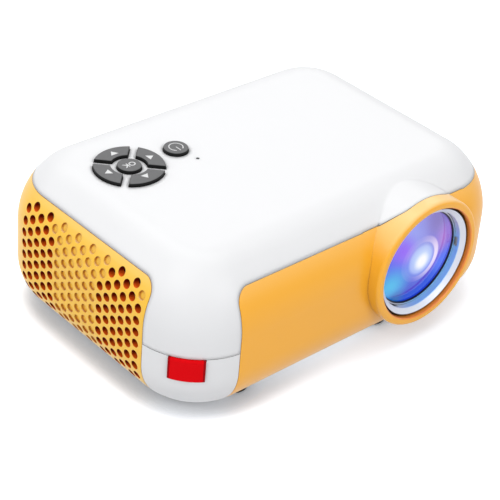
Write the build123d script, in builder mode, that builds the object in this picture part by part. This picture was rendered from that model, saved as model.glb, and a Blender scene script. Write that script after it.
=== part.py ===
from build123d import *

import os
from math import asin, cos, degrees, radians, sin, sqrt

os.makedirs("parts", exist_ok=True)

# Housing, measured outside, in millimetres. The lens looks along -Y and the grille is on -X.
body_length = 135.0
body_depth = 97.0
body_height = 49.5
corner_radius = 22.4
foot_height = 1.5
wall = 2.0
lower_roll_radius = 17.0
lower_roll_height = 14.9
shoulder_radius = 25.35
shoulder_angle = 50.0
crown_radius = 11.9

# Parting lines of the housing
seam = 0.15
panel_drop = 7.8
panel_corner = 4.5
column_front = 19.8
column_side = 20.1
column_rise = 22.1
grille_wrap = 31.5
lip_thickness = 1.2
lip_drop = 3.5

# Hood and lens, with depths counted from the rim of the hood
hood_reach = 4.35
hood_radius = 21.6
hood_bore = 19.0
hood_edge = 1.2
hood_chamfer = 0.3
collar_reach = 4.6
brow_rise = 5.1
brow_round = 2.0
sleeve_thickness = 1.2
sleeve_length = 11.0
lens_end = 43.1
lens_rise = 26.8
ring_radius = 18.5
ring_bore = 16.6
ring_front = 1.3
ring_cone = 1.3
ring_end = 23.6
tube_front = 11.0
tube_wall = 1.4
tube_flange_radius = 20.0
tube_flange = 2.4
ring_end_gap = 0.35
barrel_radius = 14.9
barrel_flange_radius = 16.45
barrel_front = 4.5
barrel_flange = 4.0
barrel_end = 29.5
lug_width = 3.0
lug_reach = 0.8
middle_glass_radius = 12.0
middle_glass_front = 12.0
middle_glass_edge = 3.6
middle_glass_sag = 1.2
glass_radius = 15.6
glass_edge = 2.0
glass_sag = 2.0
rear_glass_radius = 11.0
rear_glass_edge = 2.4
rear_glass_sag = 1.4
running_gap = 0.08
sliding_gap = 0.15
focus_travel = 1.2

# Keys
pad_end = 27.8
pad_rear = 33.775
pad_radius = 11.0
pad_inner_radius = 5.7
pad_gap = 2.5
ok_radius = 3.75
power_from_pad = 18.2
power_shift = 0.2
power_radius = 3.9
key_proud = 1.2
key_gap = 0.2
key_flange = 0.5
key_flange_height = 0.9
key_round = 0.35
key_travel = 0.4
stem_radius = 1.5
stem_drop = 0.6
stem_at = 8.3
switch_size = 4.5
switch_body = 1.3
plunger_radius = 1.2
plunger_height = 0.6
key_board_shift = 6.7
key_board_length = 35.0
key_board_width = 27.2
key_board_thickness = 1.0
pad_lift = 0.9
key_post_left = 4.3
key_post_middle = 11.2
key_post_radius = 1.8
lamp_from_pad = 20.7
lamp_front = 7.4
lamp_radius = 0.5

# Grille holes on a triangular lattice
hole_radius = 1.38
hole_pitch = 4.0
hole_margin = 3.2
dimple_depth = 0.6
grille_columns = 17
grille_rows = 9
grille_start = -25.3
open_front_columns = 6
open_rear_columns = 5

# Sockets at the rear, left to right as seen from the front
port_gap = 0.3
port_recess = 1.0
board_rise = 8.1
board_thickness = 1.6
board_length = 88.0
board_depth = 19.5
board_gap = 4.7
board_post_x = 40.0
board_post_front = 3.0
board_post_back = 8.0
hdmi_x = -14.0
hdmi_width = 15.0
hdmi_height = 5.6
hdmi_tongue = 1.2
hdmi_tongue_z = 2.8
usb_x = 3.5
usb_width = 13.2
usb_height = 5.8
usb_tongue = 1.6
usb_tongue_z = 3.9
socket_skin = 0.4
tongue_side = 2.0
card_x = -29.0
card_width = 11.6
card_height = 1.9
av_x = 17.5
av_radius = 3.0
av_bore = 1.8
dc_x = 29.0
dc_radius = 4.0
dc_bore = 2.8
dc_pin = 1.0
socket_length = 12.0
ir_end = 30.5
ir_radius = 2.6
vent_drop = 10.2
vent_slots = 8
vent_pitch = 4.0
vent_length = 12.0
vent_width = 1.8

# Fastening
post_inset = 17.5
post_radius = 3.2
post_height = 6.5
screw_radius = 1.25
screw_head_radius = 2.2
screw_head = 1.6
screw_length = 16.0
screw_gap = 0.05
tripod_radius = 2.55
tripod_nut_radius = 4.5
tripod_depth = 6.5
screw_sink = 2.4
small_screw_radius = 0.9
small_screw_head = 1.2
board_post_radius = 2.4
foot_radius = 4.5
foot_bed = 0.5
foot_round = 0.5
foot_inset = 12.5
foot_end = 29.7
front_right_foot_end = 47.1

# Light engine. The light runs along +X to the mirror, which turns it along -Y into the lens.
light_depth = 22.3
mirror_length = 46.0
mirror_thickness = 1.5
engine_wall = 1.5
engine_reach = 33.9
engine_side = 19.5
engine_depth = 44.6
engine_height = 37.0
lug_from_left = 6.5
lug_from_front = 3.6
lug_offset = 2.6
panel_width = 41.0
panel_height = 33.4
window_width = 37.0
window_height = 28.0
lcd_thickness = 2.5
fresnel_thickness = 2.0
heat_glass_thickness = 1.1
stack_pitch = 3.9
cone_mouth = 12.0
cone_wall = 1.0
led_board = 22.0
led_board_thickness = 1.6
led_dome_radius = 4.0
sink_base = 3.0
sink_fin = 11.0
sink_width = 40.0
sink_height = 36.0
sink_fins = 9
sink_fin_thickness = 1.2
fan_size = 40.0
fan_depth = 10.0
fan_bore = 18.8
fan_hub = 8.0
fan_tip_gap = 0.5
fan_blades = 7
blade_pitch_root = 55.0
blade_pitch_tip = 30.0
fan_corner = 3.0
fan_screw_inset = 4.0
axle_radius = 1.0
speaker_radius = 14.0
speaker_depth = 5.5
speaker_rim = 1.5
speaker_magnet = 9.0
speaker_setback = 3.5
speaker_rise = 20.5
speaker_slots = 7
speaker_slot_length = 26.0
speaker_slot_height = 1.8
speaker_slot_pitch = 3.6

# Woven tag in the seam of the front left corner
tag_width = 10.7
tag_drop = 7.8
tag_thickness = 0.7
tag_standoff = 0.25
tag_angle = 223.0
tag_root = 0.5
tag_tuck = 1.6

# Derived places
body_y = hood_reach / 2
front_y = body_y - body_depth / 2
back_y = body_y + body_depth / 2
rim_y = front_y - hood_reach
left_x = -body_length / 2
right_x = body_length / 2
shell_bottom = foot_height
shell_top = foot_height + body_height
floor = shell_bottom + wall
roof = shell_top - wall
panel_top = shell_top - panel_drop
column_seam = shell_bottom + column_rise
column_x = right_x - column_front
column_y = body_depth / 2 - column_side
grille_return = right_x - grille_wrap
lens_x = right_x - lens_end
lens_z = shell_bottom + lens_rise
roll_top = shell_bottom + lower_roll_height
turn = radians(shoulder_angle)
shoulder_level = shell_top - shoulder_radius * sin(turn) - crown_radius * (1 - sin(turn))
corner_x = body_length / 2 - corner_radius
corner_y = body_depth / 2 - corner_radius
beyond = body_length


def inset_above(level, inward=0.0):
    """How far the outline at a level of the shoulder stands in from the widest one."""
    radius = shoulder_radius - inward
    return shoulder_radius - sqrt(radius**2 - (level - shoulder_level) ** 2)


def inset_below(level, inward=0.0):
    """How far the outline at a level of the lower roll stands in from the widest one."""
    radius = lower_roll_radius - inward
    return lower_roll_radius - sqrt(radius**2 - (roll_top - level) ** 2)


def wall_section(plane, inward):
    """Half section from a corner's axis out to the wall, with its plane's Y axis upright."""
    low = shell_bottom + inward
    high = shell_top - inward
    reach = corner_radius - inward
    low_angle = degrees(asin((roll_top - low) / (lower_roll_radius - inward)))
    shoulder_at = corner_radius - shoulder_radius
    crown_at = shoulder_at + (shoulder_radius - crown_radius) * cos(turn)
    crown_level = shoulder_level + (shoulder_radius - crown_radius) * sin(turn)
    with BuildSketch(plane) as section:
        with BuildLine():
            roll = CenterArc(
                (corner_radius - lower_roll_radius, roll_top),
                lower_roll_radius - inward,
                -low_angle,
                low_angle,
            )
            Line((reach, roll_top), (reach, shoulder_level))
            CenterArc((shoulder_at, shoulder_level), shoulder_radius - inward, 0, shoulder_angle)
            crown = CenterArc(
                (crown_at, crown_level), crown_radius - inward, shoulder_angle, 90 - shoulder_angle
            )
            Polyline(crown @ 1, (0, high), (0, low), roll @ 0)
        make_face()
    return section.sketch


def housing_form(inward):
    """The rounded block of the housing, moved inward by a wall or a clearance."""
    with BuildPart() as form:
        with BuildSketch(Plane.XY.offset(shell_bottom + inward)):
            with Locations((0, body_y)):
                Rectangle(2 * corner_x, 2 * corner_y)
        extrude(amount=body_height - 2 * inward)
        for quarter in range(4):
            angle = 90 * quarter
            across = (round(cos(radians(angle))), round(sin(radians(angle))), 0)
            along = (across[1], -across[0], 0)
            corner = (
                corner_x * (across[0] - across[1]),
                body_y + corner_y * (across[0] + across[1]),
                0,
            )
            plane = Plane(origin=corner, x_dir=across, z_dir=along)
            run = 2 * (corner_y if quarter % 2 == 0 else corner_x)
            section = wall_section(plane, inward)
            extrude(section, amount=run)
            revolve(section, axis=Axis(corner, (0, 0, 1)), revolution_arc=90)
    return form.part


lens_plane = Plane(origin=(lens_x, rim_y, lens_z), x_dir=(1, 0, 0), z_dir=(0, 1, 0))
lens_section = Plane(origin=(lens_x, rim_y, lens_z), x_dir=(0, 1, 0), z_dir=(1, 0, 0))
lens_axis = Axis((lens_x, rim_y, lens_z), (0, 1, 0))

outside = housing_form(0)
inside = housing_form(wall)

# The housing's outside with the round hood that stands out around the lens
with BuildPart() as hooded:
    with BuildSketch(lens_plane):
        Circle(hood_radius)
    extrude(amount=hood_reach + corner_radius)
    fillet(hooded.edges().filter_by(GeomType.CIRCLE).sort_by(Axis.Y)[0], hood_edge)
    add(outside)


def window(plane, margin):
    """Opening for a coloured panel in the white shell, with one rounded upper corner."""
    with BuildSketch(plane) as opening:
        with Locations((margin, floor + margin)):
            Rectangle(beyond, panel_top - floor - 2 * margin, align=(Align.MIN, Align.MIN))
        fillet(opening.vertices().group_by(Axis.Y)[-1].sort_by(Axis.X)[0], panel_corner)
    return opening.sketch


# Each window's plane stands at its edge on the white column, with its X axis along the wall
window_start = 20.0
front_plane = Plane((-column_x, body_y - window_start, 0), (1, 0, 0), (0, -1, 0))
left_plane = Plane((-window_start, body_y - column_y, 0), (0, 1, 0), (1, 0, 0))
rear_plane = Plane((column_x, body_y + window_start, 0), (-1, 0, 0), (0, 1, 0))
right_plane = Plane((window_start, body_y + column_y, 0), (0, -1, 0), (-1, 0, 0))
brow_y = rim_y + collar_reach
brow_foot = front_y + inset_above(panel_top)
hood_zone_plane = Plane.YZ.offset(lens_x - hood_radius - seam)


def front_zone(margin):
    """Space of the front panel: the front, the right end and the round collar under the brow."""
    with BuildPart() as zone:
        extrude(window(front_plane, margin), amount=beyond)
        extrude(window(right_plane, margin), amount=-beyond)
        with BuildSketch(hood_zone_plane) as cut:
            with BuildLine():
                Polyline(
                    (rim_y - margin - hood_reach, lens_z),
                    (rim_y - margin - hood_reach, shell_top),
                    (brow_y - margin, shell_top),
                    (brow_y - margin, panel_top + brow_rise),
                    (brow_foot - margin, panel_top - margin),
                    (body_y - window_start, panel_top - margin),
                    (body_y - window_start, lens_z),
                    close=True,
                )
            make_face()
            upright = cut.edges().filter_by(Axis.X) + cut.edges().filter_by(Axis.Y)
            slope = cut.edges() - upright
            fillet(slope.vertices(), brow_round)
        extrude(amount=2 * (hood_radius + seam))
    return zone.part


def rear_zone(margin):
    """Space of the rear panel and the side grille."""
    with BuildPart() as zone:
        extrude(window(rear_plane, margin), amount=beyond)
        extrude(window(left_plane, margin), amount=-beyond)
    return zone.part


front_opening = front_zone(0)
rear_opening = rear_zone(0)
front_fill = front_zone(seam)
rear_fill = rear_zone(seam)

# Where the screws, posts and feet stand
post_rows = (front_y + post_inset, back_y - post_inset)
posts = [(x, y) for x in (left_x + post_inset, right_x - post_inset) for y in post_rows]
post_top = floor + post_height
feet = [
    (left_x + foot_end, front_y + foot_inset),
    (right_x - front_right_foot_end, front_y + foot_inset),
    (left_x + foot_end, back_y - foot_inset),
    (right_x - foot_end, back_y - foot_inset),
]
board_top = floor + board_rise
board_back = back_y - board_gap
board_front = board_back - board_depth
board_rows = (board_front + board_post_front, board_back - board_post_back)
board_posts = [(x, y) for x in (-board_post_x, board_post_x) for y in board_rows]

# Light engine's lugs: where each leaves the wall, and which way
tube_bore = barrel_radius + running_gap
tube_radius = tube_bore + tube_wall
flange_front = ring_end + ring_end_gap
engine_front = rim_y + flange_front + tube_flange
engine_back = engine_front + engine_depth
engine_left = lens_x - engine_reach
engine_right = lens_x + engine_side
engine_bottom = lens_z - engine_height / 2
engine_top = lens_z + engine_height / 2
mirror_y = engine_front + light_depth
lug_x = engine_left + lug_from_left
lugs = [
    ((lug_x, engine_front), (0, -1)),
    ((engine_right, engine_front + lug_from_front), (1, 0)),
    ((lug_x, engine_back), (0, 1)),
]
engine_posts = [(x + dx * lug_offset, y + dy * lug_offset) for (x, y), (dx, dy) in lugs]
rib_inset = inset_below(floor, wall) + seam
fan_x = -(body_length / 2 - rib_inset - lip_thickness) + seam + fan_depth / 2
fan_z = floor + seam + fan_size / 2
sink_end = fan_x + fan_depth / 2 + seam + sink_fin + sink_base
cradles = [
    (fan_x - fan_depth / 2, fan_x + fan_depth / 2, (fan_size + lip_thickness) / 2 + seam),
    (sink_end - sink_base, sink_end, (sink_width + lip_thickness) / 2 + seam),
]
tag_plane = Plane(
    (-corner_x, body_y - corner_y, 0),
    (-sin(radians(tag_angle)), cos(radians(tag_angle)), 0),
    (cos(radians(tag_angle)), sin(radians(tag_angle)), 0),
)

# The grille's lattice: every other column stands half a pitch lower. The columns in the middle are
# blind, and so are the uppermost holes of some columns beside them.
blind_columns = range(open_front_columns, grille_columns - open_rear_columns)
blind_tops = {0: 1, open_front_columns - 1: 2, grille_columns - open_rear_columns: 1}
hole_top = panel_top - hole_margin
open_holes = []
blind_holes = []
for column in range(grille_columns):
    along = body_y + grille_start + column * hole_pitch * sqrt(3) / 2
    low = (column + 1) % 2
    for row in range(grille_rows - low):
        blind = column in blind_columns or row < blind_tops.get(column, 0)
        holes = blind_holes if blind else open_holes
        holes.append((along, hole_top - (row + low / 2) * hole_pitch))


pad_x = left_x + pad_end
pad_y = back_y - pad_rear
power_x = pad_x + power_from_pad
power_y = pad_y + power_shift
lamp_x = pad_x + lamp_from_pad
lamp_y = pad_y - lamp_front
key_board_x = pad_x + key_board_shift
keys = {"right_key": 0, "back_key": 90, "left_key": 180, "forward_key": 270}
key_top = shell_top + key_proud
flange_top = roof - screw_gap
flange_bottom = flange_top - key_flange_height
stem_bottom = flange_bottom - stem_drop
plunger_top = stem_bottom - key_travel - screw_gap
board_face = plunger_top - plunger_height - switch_body
key_board_bottom = board_face - key_board_thickness
key_board_y = pad_y - pad_lift
key_post_front = key_board_y - key_board_width / 2 + key_post_radius
key_post_back = key_board_y + key_board_width / 2 - key_post_radius
key_post_right = key_board_x + key_board_length / 2 - key_post_radius
key_posts = [
    (pad_x - key_post_left, key_post_front),
    (pad_x + key_post_middle, key_post_back),
    (key_post_right, key_post_front),
    (key_post_right, key_post_back),
]

vent_level = panel_top - vent_drop
ir_x = right_x - ir_end
ir_z = vent_level
speaker_front = right_x - wall - speaker_setback
speaker_z = floor + speaker_rise
sleeve_radius = hood_bore + sleeve_thickness
lip_inset = inset_above(panel_top, wall) + seam


def ring_outline(inset):
    """Rounded rectangle that follows the housing's outline at an inset."""
    with BuildSketch() as outline:
        with Locations((0, body_y)):
            RectangleRounded(
                body_length - 2 * inset, body_depth - 2 * inset, corner_radius - inset
            )
    return outline.sketch


def key_outline(angle, grow):
    """Quarter-ring key between two parallel gaps, grown outward for its well or its flange."""
    tip = (pad_gap / 2 - grow) * sqrt(2)
    far = 2 * pad_radius
    with BuildSketch() as outline:
        Circle(pad_radius + grow)
        Circle(pad_inner_radius - grow, mode=Mode.SUBTRACT)
        with Locations(Rotation(0, 0, angle)):
            Polygon((tip, 0), (tip + far, -far), (tip + far, far), align=None, mode=Mode.INTERSECT)
    return outline.sketch


with BuildPart() as top_cover:
    add(hooded)
    add(inside, mode=Mode.SUBTRACT)
    add(front_opening, mode=Mode.SUBTRACT)
    add(rear_opening, mode=Mode.SUBTRACT)
    split(bisect_by=Plane.XY.offset(column_seam), keep=Keep.TOP)
    # Clearance for the sleeve of the hood under the brow
    with BuildSketch(lens_plane):
        Circle(sleeve_radius + seam)
    extrude(amount=sleeve_length + seam, mode=Mode.SUBTRACT)
    # Lip that stands inside the panels, open at the hood
    with BuildSketch(Plane.XY.offset(panel_top - lip_drop)):
        add(ring_outline(lip_inset))
        add(ring_outline(lip_inset + lip_thickness), mode=Mode.SUBTRACT)
        with Locations((lens_x, front_y + corner_radius)):
            Rectangle(
                2 * (tube_flange_radius + lip_thickness), 2 * corner_radius, mode=Mode.SUBTRACT
            )
    extrude(until=Until.NEXT)
    # Room for the focus ring behind the brow
    with BuildSketch(lens_plane):
        Circle(hood_bore)
    extrude(amount=ring_end, mode=Mode.SUBTRACT)
    # Screw bosses that come down on the posts of the bottom shell
    with BuildSketch(Plane.XY.offset(post_top + seam)):
        with Locations(posts):
            Circle(post_radius)
    extrude(until=Until.NEXT)
    with BuildSketch(Plane.XY.offset(post_top + seam)):
        with Locations(posts):
            Circle(screw_radius + screw_gap)
    extrude(amount=screw_length, mode=Mode.SUBTRACT)
    # Posts that carry the key board
    with BuildSketch(Plane.XY.offset(board_face)):
        with Locations(key_posts):
            Circle(key_post_radius)
    extrude(until=Until.NEXT)
    with BuildSketch(Plane.XY.offset(board_face)):
        with Locations(key_posts):
            Circle(small_screw_radius + screw_gap)
    extrude(amount=2 * small_screw_head, mode=Mode.SUBTRACT)
    # Wells of the keys and the hole of the status lamp
    with BuildSketch(Plane.XY.offset(roof)):
        with Locations((pad_x, pad_y)):
            for angle in keys.values():
                add(key_outline(angle, key_gap))
            Circle(ok_radius + key_gap)
        with Locations((power_x, power_y)):
            Circle(power_radius + key_gap)
        with Locations((lamp_x, lamp_y)):
            Circle(lamp_radius + screw_gap)
    extrude(amount=wall, mode=Mode.SUBTRACT)

with BuildPart() as bottom_shell:
    add(outside)
    add(inside, mode=Mode.SUBTRACT)
    add(front_opening, mode=Mode.SUBTRACT)
    add(rear_opening, mode=Mode.SUBTRACT)
    split(bisect_by=Plane.XY.offset(column_seam - seam), keep=Keep.BOTTOM)
    # Rib that holds the lower edges of the panels
    with BuildSketch(Plane.XY.offset(floor)):
        add(ring_outline(rib_inset))
        add(ring_outline(rib_inset + lip_thickness), mode=Mode.SUBTRACT)
    extrude(amount=lip_drop)
    # Posts for the case screws, the main board, the light engine and the tripod nut
    with BuildSketch(Plane.XY.offset(floor)):
        with Locations(posts):
            Circle(post_radius)
    extrude(amount=post_height)
    with BuildSketch(Plane.XY.offset(floor)):
        with Locations(board_posts):
            Circle(board_post_radius)
    extrude(amount=board_top - board_thickness - floor)
    with BuildSketch(Plane.XY.offset(floor)):
        with Locations(engine_posts):
            Circle(board_post_radius)
    extrude(amount=engine_bottom - floor)
    with BuildSketch(Plane.XY.offset(floor)):
        with Locations((0, body_y)):
            Circle(tripod_nut_radius + lip_thickness)
    extrude(amount=tripod_depth - wall)
    # Stands that hold the fan, the heat sink and the speaker by their lower edges
    for start, end, half in cradles:
        with BuildSketch(Plane.XY.offset(floor)):
            with Locations(((start + end) / 2, body_y - half), ((start + end) / 2, body_y + half)):
                Rectangle(end - start, lip_thickness)
        extrude(amount=lip_drop)
    # Screw holes with room for the heads, and the tapped holes of the inner posts
    with Locations(*[(x, y, shell_bottom) for x, y in posts]):
        Cylinder(
            screw_radius + screw_gap,
            post_top - shell_bottom,
            align=(Align.CENTER, Align.CENTER, Align.MIN),
            mode=Mode.SUBTRACT,
        )
        Cylinder(
            screw_head_radius + seam,
            screw_sink,
            align=(Align.CENTER, Align.CENTER, Align.MIN),
            mode=Mode.SUBTRACT,
        )
    with BuildSketch(Plane.XY.offset(floor)):
        with Locations(board_posts + engine_posts):
            Circle(small_screw_radius + screw_gap)
    extrude(amount=lip_drop + post_height + board_thickness, mode=Mode.SUBTRACT)
    with BuildSketch(Plane.XY.offset(shell_bottom)):
        with Locations((0, body_y)):
            Circle(tripod_nut_radius + screw_gap)
    extrude(amount=tripod_depth, mode=Mode.SUBTRACT)
    # Shallow beds of the feet and the notch in the seam for the tag
    with BuildSketch(Plane.XY.offset(shell_bottom)):
        with Locations(feet):
            Circle(foot_radius + screw_gap)
    extrude(amount=foot_bed, mode=Mode.SUBTRACT)
    with BuildSketch(tag_plane):
        with Locations((0, column_seam)):
            Rectangle(tag_width + 2 * seam, 2 * (tag_root + seam))
    extrude(amount=corner_radius, both=True, mode=Mode.SUBTRACT)

with BuildPart() as front_panel:
    add(hooded)
    add(inside, mode=Mode.SUBTRACT)
    add(front_fill, mode=Mode.INTERSECT)
    # Sleeve of the hood that goes on inside, past the brow
    with BuildSketch(lens_plane.offset(hood_edge)):
        Circle(sleeve_radius)
    extrude(amount=sleeve_length - hood_edge)
    with BuildSketch(lens_plane):
        Circle(hood_bore)
    extrude(amount=ring_end, mode=Mode.SUBTRACT)
    rim = front_panel.faces().filter_by(Axis.Y).sort_by(Axis.Y)[0]
    chamfer(rim.inner_wires()[0].edges(), hood_chamfer)
    # Ring that holds the rim of the speaker against the right end, and the slots in front of it
    with BuildSketch(Plane.YZ.offset(speaker_front - speaker_rim)):
        with Locations((body_y, speaker_z)):
            Circle(speaker_radius + sliding_gap + lip_thickness)
            Circle(speaker_radius + sliding_gap, mode=Mode.SUBTRACT)
    extrude(until=Until.NEXT)
    with BuildSketch(Plane.YZ.offset(speaker_front + screw_gap)):
        with Locations((body_y, speaker_z)):
            Circle(speaker_radius + sliding_gap)
            Circle(speaker_radius - lip_thickness, mode=Mode.SUBTRACT)
    extrude(until=Until.NEXT)
    with BuildSketch(Plane.YZ.offset(body_length / 2 - corner_radius)):
        with Locations((body_y, speaker_z)):
            with GridLocations(0, speaker_slot_pitch, 1, speaker_slots):
                SlotOverall(speaker_slot_length, speaker_slot_height)
    extrude(amount=2 * corner_radius, mode=Mode.SUBTRACT)

# The rear and the grille are one run of wall, cut behind the rear left corner
with BuildPart() as rear_run:
    add(outside)
    add(inside, mode=Mode.SUBTRACT)
    add(rear_fill, mode=Mode.INTERSECT)

with BuildPart() as rear_panel:
    add(rear_run)
    split(bisect_by=Plane.YZ.offset(-grille_return + seam), keep=Keep.TOP)
    with BuildSketch(Plane.XZ.offset(-back_y)):
        with Locations((hdmi_x, board_top + hdmi_height / 2)):
            Rectangle(hdmi_width + 2 * port_gap, hdmi_height + 2 * port_gap)
        with Locations((usb_x, board_top + usb_height / 2)):
            Rectangle(usb_width + 2 * port_gap, usb_height + 2 * port_gap)
        with Locations((av_x, board_top + av_radius)):
            Circle(av_radius + port_gap)
        with Locations((dc_x, board_top + dc_radius)):
            Circle(dc_radius + port_gap)
        with Locations((ir_x, ir_z)):
            Circle(ir_radius + seam)
        with Locations((card_x, board_top + card_height / 2)):
            Rectangle(card_width + 2 * port_gap, card_height + 2 * port_gap)
        with Locations((0, vent_level)):
            with GridLocations(vent_pitch, 0, vent_slots, 1):
                SlotOverall(vent_length, vent_width, rotation=90)
    extrude(amount=corner_radius, mode=Mode.SUBTRACT)

# Blind holes as deep all over as the wall's curve goes
with BuildPart() as dimples:
    with BuildSketch(Plane.YZ.offset(left_x)):
        with Locations(blind_holes):
            Circle(hole_radius)
    extrude(amount=corner_radius)
    add(housing_form(dimple_depth), mode=Mode.SUBTRACT)

with BuildPart() as side_grille:
    add(rear_run)
    split(bisect_by=Plane.YZ.offset(-grille_return), keep=Keep.BOTTOM)
    with BuildSketch(Plane.YZ.offset(left_x)):
        with Locations(open_holes):
            Circle(hole_radius)
    extrude(amount=corner_radius, mode=Mode.SUBTRACT)
    add(dimples, mode=Mode.SUBTRACT)

with BuildPart() as rubber_feet:
    with BuildSketch(Plane.XY):
        with Locations(feet):
            Circle(foot_radius)
    extrude(amount=foot_height + foot_bed - screw_gap)
    fillet(rubber_feet.faces().group_by(Axis.Z)[0].edges(), foot_round)

with BuildPart() as case_screws:
    with Locations(*[(x, y, shell_bottom + screw_sink) for x, y in posts]):
        Cylinder(screw_radius, screw_length, align=(Align.CENTER, Align.CENTER, Align.MIN))
        Cylinder(screw_head_radius, screw_head, align=(Align.CENTER, Align.CENTER, Align.MAX))

with BuildPart() as tripod_nut:
    with BuildSketch(Plane.XY.offset(shell_bottom)):
        with Locations((0, body_y)):
            Circle(tripod_nut_radius)
            Circle(tripod_radius, mode=Mode.SUBTRACT)
    extrude(amount=tripod_depth - screw_gap)

# Tag: a short loop of tape round the corner, with its root tucked into the seam
tag_inner = corner_radius + tag_standoff
with BuildPart() as seam_tag:
    with BuildSketch(Plane.XY.offset(column_seam - tag_root - tag_drop)):
        with Locations((-corner_x, body_y - corner_y)):
            Circle(tag_inner + tag_thickness)
            Circle(tag_inner, mode=Mode.SUBTRACT)
    extrude(amount=tag_drop)
    with BuildSketch(Plane.XY.offset(column_seam - tag_root)):
        with Locations((-corner_x, body_y - corner_y)):
            Circle(tag_inner + tag_thickness)
            Circle(corner_radius - tag_tuck, mode=Mode.SUBTRACT)
    extrude(amount=tag_root - seam)
    with BuildSketch(tag_plane):
        with Locations((0, column_seam - tag_drop / 2)):
            Rectangle(tag_width, 2 * tag_drop)
    extrude(amount=2 * corner_radius, mode=Mode.INTERSECT)

# Fixed lens tube, screwed to the front of the light engine
with BuildPart() as lens_tube:
    with BuildSketch(lens_section):
        with BuildLine():
            Polyline(
                (tube_front, tube_bore),
                (tube_front, tube_radius),
                (flange_front, tube_radius),
                (flange_front, tube_flange_radius),
                (flange_front + tube_flange, tube_flange_radius),
                (flange_front + tube_flange, tube_bore),
                close=True,
            )
        make_face()
    revolve(axis=lens_axis)

# Focus ring that turns on the tube, with a bright cone at its front and three keyways inside
ring_tail_bore = tube_radius + running_gap
with BuildPart() as focus_ring:
    with BuildSketch(lens_section):
        with BuildLine():
            Polyline(
                (ring_front, ring_radius - hood_chamfer),
                (ring_front + ring_cone, ring_bore),
                (tube_front - sliding_gap, ring_bore),
                (tube_front - sliding_gap, ring_tail_bore),
                (ring_end, ring_tail_bore),
                (ring_end, ring_radius),
                (ring_front + hood_chamfer, ring_radius),
                close=True,
            )
        make_face()
    revolve(axis=lens_axis)
    with BuildSketch(lens_plane.offset(barrel_front - focus_travel)):
        with PolarLocations((ring_bore + lug_reach) / 2, 3):
            Rectangle(ring_bore + lug_reach, lug_width + 2 * sliding_gap)
        Circle(ring_bore - lug_reach, mode=Mode.SUBTRACT)
    extrude(amount=ring_end, mode=Mode.SUBTRACT)

# Barrel that slides in the tube and is keyed to the focus ring
seat_back = barrel_front + glass_edge + tube_wall / 2
middle_glass_back = middle_glass_front + middle_glass_edge + sliding_gap
with BuildPart() as lens_barrel:
    with BuildSketch(lens_section):
        with BuildLine():
            Polyline(
                (barrel_front, glass_radius + sliding_gap),
                (barrel_front, barrel_flange_radius),
                (barrel_front + barrel_flange, barrel_flange_radius),
                (barrel_front + barrel_flange, barrel_radius),
                (barrel_end, barrel_radius),
                (barrel_end, rear_glass_radius + sliding_gap),
                (barrel_end - rear_glass_edge - tube_wall / 2, rear_glass_radius + sliding_gap),
                (barrel_end - rear_glass_edge - tube_wall / 2, rear_glass_radius - tube_wall),
                (middle_glass_back, middle_glass_radius - tube_wall),
                (middle_glass_back, middle_glass_radius + sliding_gap),
                (middle_glass_front, middle_glass_radius + sliding_gap),
                (middle_glass_front, barrel_radius - tube_wall),
                (seat_back, barrel_radius - tube_wall),
                (seat_back, glass_radius + sliding_gap),
                close=True,
            )
        make_face()
    revolve(axis=lens_axis)
    with BuildSketch(lens_plane.offset(barrel_front + lug_reach)):
        with PolarLocations((ring_bore + lug_reach - sliding_gap) / 2, 3):
            Rectangle(ring_bore + lug_reach - sliding_gap, lug_width)
        Circle(barrel_flange_radius - lug_reach / 2, mode=Mode.SUBTRACT)
    extrude(amount=barrel_flange - lug_reach)


def lens_disc(front, radius, edge, sag_front, sag_back):
    """Section of a lens on the lens axis: two arcs and a ground edge."""
    with BuildSketch(lens_section) as disc:
        with BuildLine():
            Line((front, radius), (front + edge, radius))
            SagittaArc((front + edge, radius), (front + edge, -radius), sag_back)
            Line((front + edge, -radius), (front, -radius))
            SagittaArc((front, -radius), (front, radius), sag_front)
        make_face()
        with Locations((front, 0)):
            Rectangle(
                2 * radius, 2 * radius, align=(Align.CENTER, Align.MIN), mode=Mode.INTERSECT
            )
    return disc.sketch


with BuildPart() as front_glass:
    revolve(
        lens_disc(seat_back - glass_edge - seam, glass_radius, glass_edge, glass_sag, glass_sag / 4),
        axis=lens_axis,
    )

# The middle lens is hollow on both sides
with BuildPart() as middle_glass:
    revolve(
        lens_disc(
            middle_glass_front,
            middle_glass_radius,
            middle_glass_edge,
            -middle_glass_sag,
            -middle_glass_sag,
        ),
        axis=lens_axis,
    )

with BuildPart() as rear_glass:
    revolve(
        lens_disc(
            barrel_end - rear_glass_edge - seam,
            rear_glass_radius,
            rear_glass_edge,
            rear_glass_sag,
            rear_glass_sag,
        ),
        axis=lens_axis,
    )

# Keys: each cap has a flange under the cover and a stem over its switch
key_caps = {}
for name, angle in keys.items():
    with BuildPart() as cap:
        with BuildSketch(Plane.XY.offset(flange_bottom)):
            with Locations((pad_x, pad_y)):
                add(key_outline(angle, 0))
        extrude(amount=key_top - flange_bottom)
        fillet(cap.edges().group_by(Axis.Z)[-1], key_round)
        with BuildSketch(Plane.XY.offset(flange_bottom)):
            with Locations((pad_x, pad_y)):
                add(key_outline(angle, key_flange))
        extrude(amount=key_flange_height)
        with BuildSketch(Plane.XY.offset(stem_bottom)):
            with Locations((pad_x, pad_y)):
                with Locations(Rotation(0, 0, angle)):
                    with Locations((stem_at, 0)):
                        Circle(stem_radius)
        extrude(amount=stem_drop)
    key_caps[name] = cap.part

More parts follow.
